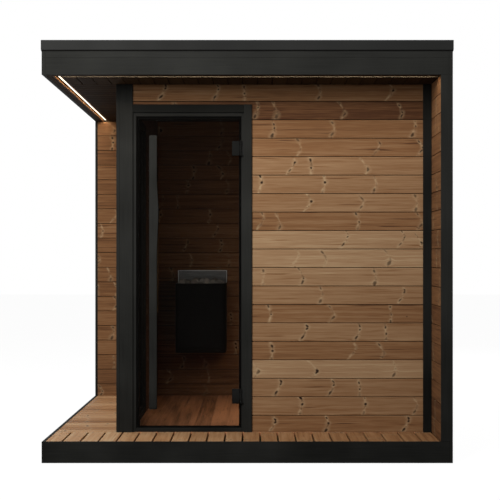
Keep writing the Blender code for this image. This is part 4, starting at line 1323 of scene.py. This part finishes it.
class SAUNA_OT_heater(SaunaPiece, bpy.types.Operator):
    """Hang the heater: casing, stones, guard and bracket"""

    bl_idname = "sauna.heater"
    bl_label = "Heater"

    def make(self):
        sizes = settings("sauna_heater")
        self.casing(sizes)
        self.stones(sizes)
        self.guard(sizes)
        plate = bars_in("steel", 0.004, [(*corners("heater_bracket"), Z)], smooth=True, steps=4)
        build("heater_wall_bracket", plate, stands_for=["heater_bracket"])

    def casing(self, sizes):
        """One skin through rings of rounded rectangles: underside, walls, rim, basin wall and basin floor."""
        low, high = corners("heater_casing")
        bottom, top, shell = low[Z], high[Z], sizes.shell
        # How far each ring is drawn in, and its height
        levels = (
            (0.010, bottom), (0.003, bottom + 0.001), (0.0, bottom + 0.006), (0.0, bottom + 0.034),
            (0.0018, bottom + 0.0352), (0.0018, bottom + 0.0372), (0.0, bottom + 0.0384),
            (0.0, top - 0.005), (0.0014, top - 0.0014), (0.005, top), (shell - 0.003, top),
            (shell - 0.0005, top - 0.003), (shell, top - 0.006), (shell, top - sizes.basin),
        )
        rings = []
        for inset, z in levels:
            x, y = ((low[axis] + inset, high[axis] - inset) for axis in (X, Y))
            outline = rounded_outline(x, y, sizes.corner - inset * 0.75)
            rings.append(np.column_stack([outline, np.full(len(outline), z)]))
        parts = [Part(lofted(np.stack(rings)), look("enamel"), True)]
        # Eight air slots on either side, drawn as thin dark films on the casing: painted shade of the
        # openings
        middle, slot_shade_film, half = (low[Y] + high[Y]) / 2, 0.0004, 0.07
        under_rim, slot_pitch, slot_height = 0.16, 0.016, 0.005
        slots = top - under_rim - slot_pitch * np.arange(8)
        for x0, x1 in ((low[X], low[X] + slot_shade_film), (high[X] - slot_shade_film, high[X])):
            box = (x0, middle - half, 0), (x1, middle + half, 0)
            lows, highs = side_by_side(box, Z, slots, slots + slot_height)
            parts += bars_in("underlay", 0.00015, [(lows, highs, Y)], steps=1)
        build("heater_casing_skin", parts, stands_for=["heater_casing"])

    def stones(self, sizes):
        """Two layers of split stones on jittered rows, over a bed that closes the basin."""
        low, high = corners("heater_stones")
        layer_levels, bed_level, jitter = (0.050, 0.074), 0.040, 0.007
        shares, tight, proud = (0.72, 1.05), 0.95, 0.004
        draw = np.random.default_rng(21)
        margin, count = sizes.stone * 0.85, sizes.stones // 2
        columns = max(3, int(round(math.sqrt(count * (high[X] - low[X]) / (high[Y] - low[Y])))))
        rows = max(3, count // columns)
        x, y = np.meshgrid(
            np.linspace(low[X] + margin, high[X] - margin, columns),
            np.linspace(low[Y] + margin, high[Y] - margin, rows),
        )
        layers = []
        for rise in layer_levels:
            centres = np.stack([x.ravel(), y.ravel(), np.full(x.size, low[Z] + rise)], axis=1)
            layers.append(centres + draw.uniform(-jitter, jitter, centres.shape))
        centres = np.concatenate(layers)
        radii = sizes.stone * draw.uniform(*shares, len(centres))
        limit_low, limit_high = low + radii[:, None] * tight, high - radii[:, None] * tight
        centres[:, :2] = np.clip(centres, limit_low, limit_high)[:, :2]
        centres[:, Z] = np.minimum(centres[:, Z], high[Z] + proud - radii)
        parts = bars_in("underlay", 0.008, [(low, (high[X], high[Y], low[Z] + bed_level), X)], steps=3)
        parts.append(Part(split_stones(centres, radii, draw), look("rock")))
        build("heater_stone_heap", parts, stands_for=["heater_stones"])

    def guard(self, sizes):
        """A steel plate behind the stones, with a folded rim over its top and down its sides, drawn in a far
        paler steel as a painted highlight.
        """
        low, high = corners("heater_guard")
        r, fold, rim = sizes.guard_corner, sizes.guard_fold, sizes.guard_rim
        turn = np.linspace(0, math.pi / 2, 9)
        right = np.stack([high[X] - r + r * np.cos(turn), high[Z] - r + r * np.sin(turn)], axis=1)
        left = np.stack([low[X] + r - r * np.sin(turn), high[Z] - r + r * np.cos(turn)], axis=1)
        outline = np.concatenate([[(low[X], low[Z]), (high[X], low[Z])], right, left])
        span = high[Y] - low[Y] - fold
        plate = carried(outline, (0, low[Y] + fold, 0), (1, 0, 0), (0, 0, 1), (0, 1, 0), span)
        under, back = high[Z] - rim, low[Y] + fold * 1.5
        box = low, (0, back, under - 0.0002)
        sides = side_by_side(box, X, (low[X], high[X] - rim), (low[X] + rim, high[X]))
        bars = [((low[X], low[Y], under), (high[X], back, high[Z]), X), (*sides, Z)]
        parts = [Part(plate, look("steel")), *bars_in("rim", 0.0004, bars, steps=1)]
        build("heater_guard_plate", parts, stands_for=["heater_guard"])


def add_object(name, data):
    """A new object in the scene."""
    thing = bpy.data.objects.new(name, data)
    bpy.context.scene.collection.objects.link(thing)
    return thing


def emptied(owner):
    """Clears the node tree of a material or world and returns its add_node."""
    owner.use_nodes = True
    owner.node_tree.nodes.clear()
    return partial(add_node, owner.node_tree)


def seen_white(n):
    """One for what the camera, reflections and clear glass see, nought for the light that falls on things."""
    rays = n("LightPath").outputs
    seen = maths(n, "MAXIMUM", rays["Is Camera Ray"], rays["Is Glossy Ray"])
    return maths(n, "MAXIMUM", seen, rays["Is Transmission Ray"])


class SAUNA_OT_stage(SaunaPiece, bpy.types.Operator):
    """Set the camera, the lamps, the floor and the surroundings"""

    bl_idname = "sauna.stage"
    bl_label = "Stage"

    def make(self):
        stage = settings("sauna_stage")
        self.camera(stage)
        self.floor()
        self.surround(stage)
        warm, cover = tuple(settings("sauna_colours").glow), settings("sauna_boards").light_cover
        self.lamp("key_lamp", (-2.0, -5.0, 4.2), (-2.0, 0.0, 4.2), (2.6, 4.4), stage.key_power)
        self.lamp("fill_lamp", (-4.4, 0.9, 2.7), (-1.0, -0.6, 0.1), (1.2, 2.0), stage.fill_power)
        self.lamp("side_lamp", (5.4, 1.9, 3.4), (1.1, 0.2, 1.1), (3.0, 3.0), stage.side_power)
        self.lamp("back_lamp", (3.0, 5.4, 4.0), (0.4, 0.8, 1.2), (3.0, 3.0), stage.back_power)
        self.lamp("room_lamp", (0.15, -0.5, 1.0), (0.05, 1.0, 0.75), (0.3, 0.3), stage.room_power, warm)
        self.lamp("floor_lamp", (0.2, 0.1, 0.8), (0.2, 0.1, 0.0), (0.9, 0.3), stage.floor_power, warm)
        # Each strip's light leaves a lamp just under its cover, a little narrower than the cover
        drop, narrow = 0.0068, 0.8 * cover
        for node, axis, gain in (("light_side", Y, stage.side_strip_gain), ("light_front", X, 1.0)):
            low, high = corners(node)
            middle, span, across = (low + high) / 2, high - low, level(axis)
            middle[Z] = high[Z] - drop
            middle[across] = low[across] + LIGHT_WALL + cover / 2
            size = (span[Y], narrow) if axis == Y else (narrow, span[X])
            self.lamp(f"{node}_lamp", middle, middle - (0, 0, 1), size, stage.strip_power * gain, warm)

    def camera(self, stage):
        data = bpy.data.cameras.new("camera")
        data.sensor_width = 36.0
        data.lens = stage.lens
        data.shift_x, data.shift_y = stage.shift_x, stage.shift_y
        camera = add_object("camera", data)
        camera.location = (stage.camera_x, stage.camera_y, stage.camera_z)
        camera.rotation_euler = (math.pi / 2, 0.0, 0.0)
        bpy.context.scene.camera = camera
        bpy.context.scene.view_settings.view_transform = "Standard"

    def lamp(self, name, place, target, size, power, colour=(1.0, 1.0, 1.0)):
        data = bpy.data.lights.new(name, "AREA")
        data.shape = "RECTANGLE"
        data.size, data.size_y = size
        data.energy = power
        data.color = colour
        lamp = add_object(name, data)
        lamp.location = place
        way = np.array(target) - np.array(place)
        flat = math.hypot(way[0], way[1])
        lamp.rotation_euler = (math.atan2(flat, -way[2]), 0.0, math.atan2(way[1], way[0]) - math.pi / 2)
        lamp.visible_camera = False
        lamp.visible_glossy = False

    def floor(self):
        """A wide pale floor, and a dark patch that closes the space under the joists as painted shade under
        the base.
        """
        for name, (x, y), z, material in (
            ("floor_sheet", (30.0, 30.0), -0.001, self.pale()),
            ("ground_under_base", (1.10, 1.12), 0.0004, look("underlay")),
        ):
            mesh = bpy.data.meshes.new(name)
            mesh.from_pydata([(-x, -y, z), (x, -y, z), (x, y, z), (-x, y, z)], [], [(0, 1, 2, 3)])
            mesh.materials.append(material)
            floor = add_object(name, mesh)

    def pale(self):
        """Matt white card, which the camera and reflections see as white under the object's soft shadow."""
        material = bpy.data.materials.new("white_card")
        n = emptied(material)
        matt = n("BsdfDiffuse", {"Color": (0.06, 0.06, 0.06, 1.0)})
        share = maths(n, "MULTIPLY", seen_white(n), 0.97)
        glow = n("Emission", {"Color": (1.0, 1.0, 1.0, 1.0)}, {"Strength": share})
        n("OutputMaterial", {}, {"Surface": n("AddShader", {}, {0: matt, 1: glow})})
        return material

    def surround(self, stage):
        """Even light from all round, which the camera and reflections see as white."""
        world = bpy.data.worlds.new("surround")
        n = emptied(world)
        strength = faded(n, seen_white(n), 0.0, 1.0, stage.surround, 1.0)
        light = n("Background", {"Color": (1.0, 1.0, 1.0, 1.0)}, {"Strength": strength})
        n("OutputWorld", {}, {"Surface": light})
        bpy.context.scene.world = world


OPERATORS = (
    SAUNA_OT_walls, SAUNA_OT_decks, SAUNA_OT_soffits, SAUNA_OT_trims, SAUNA_OT_door_frame, SAUNA_OT_glazing,
    SAUNA_OT_hinges, SAUNA_OT_handles, SAUNA_OT_lights, SAUNA_OT_roof, SAUNA_OT_heater, SAUNA_OT_stage,
)


class SAUNA_PT_panel(bpy.types.Panel):
    """Lists the cabin's pieces and sizes"""

    bl_label = "Outdoor Sauna Cabin"
    bl_idname = "SAUNA_PT_panel"
    bl_space_type = "VIEW_3D"
    bl_region_type = "UI"
    bl_category = "Sauna"

    def draw(self, context):
        for operator in OPERATORS:
            self.layout.operator(operator.bl_idname)
        for group, kind in GROUPS.items():
            box = self.layout.box()
            for name in kind.__annotations__:
                box.prop(getattr(context.scene, group), name)


CLASSES = (*GROUPS.values(), *OPERATORS, SAUNA_PT_panel)


def register():
    for kind in CLASSES:
        bpy.utils.register_class(kind)
    for group, kind in GROUPS.items():
        setattr(bpy.types.Scene, group, PointerProperty(type=kind))


def unregister():
    for group in GROUPS:
        delattr(bpy.types.Scene, group)
    for kind in reversed(CLASSES):
        bpy.utils.unregister_class(kind)


def main():
    register()
    for operator in OPERATORS:
        space, name = operator.bl_idname.split(".")
        getattr(getattr(bpy.ops, space), name)()


if __name__ == "__main__":
    main()
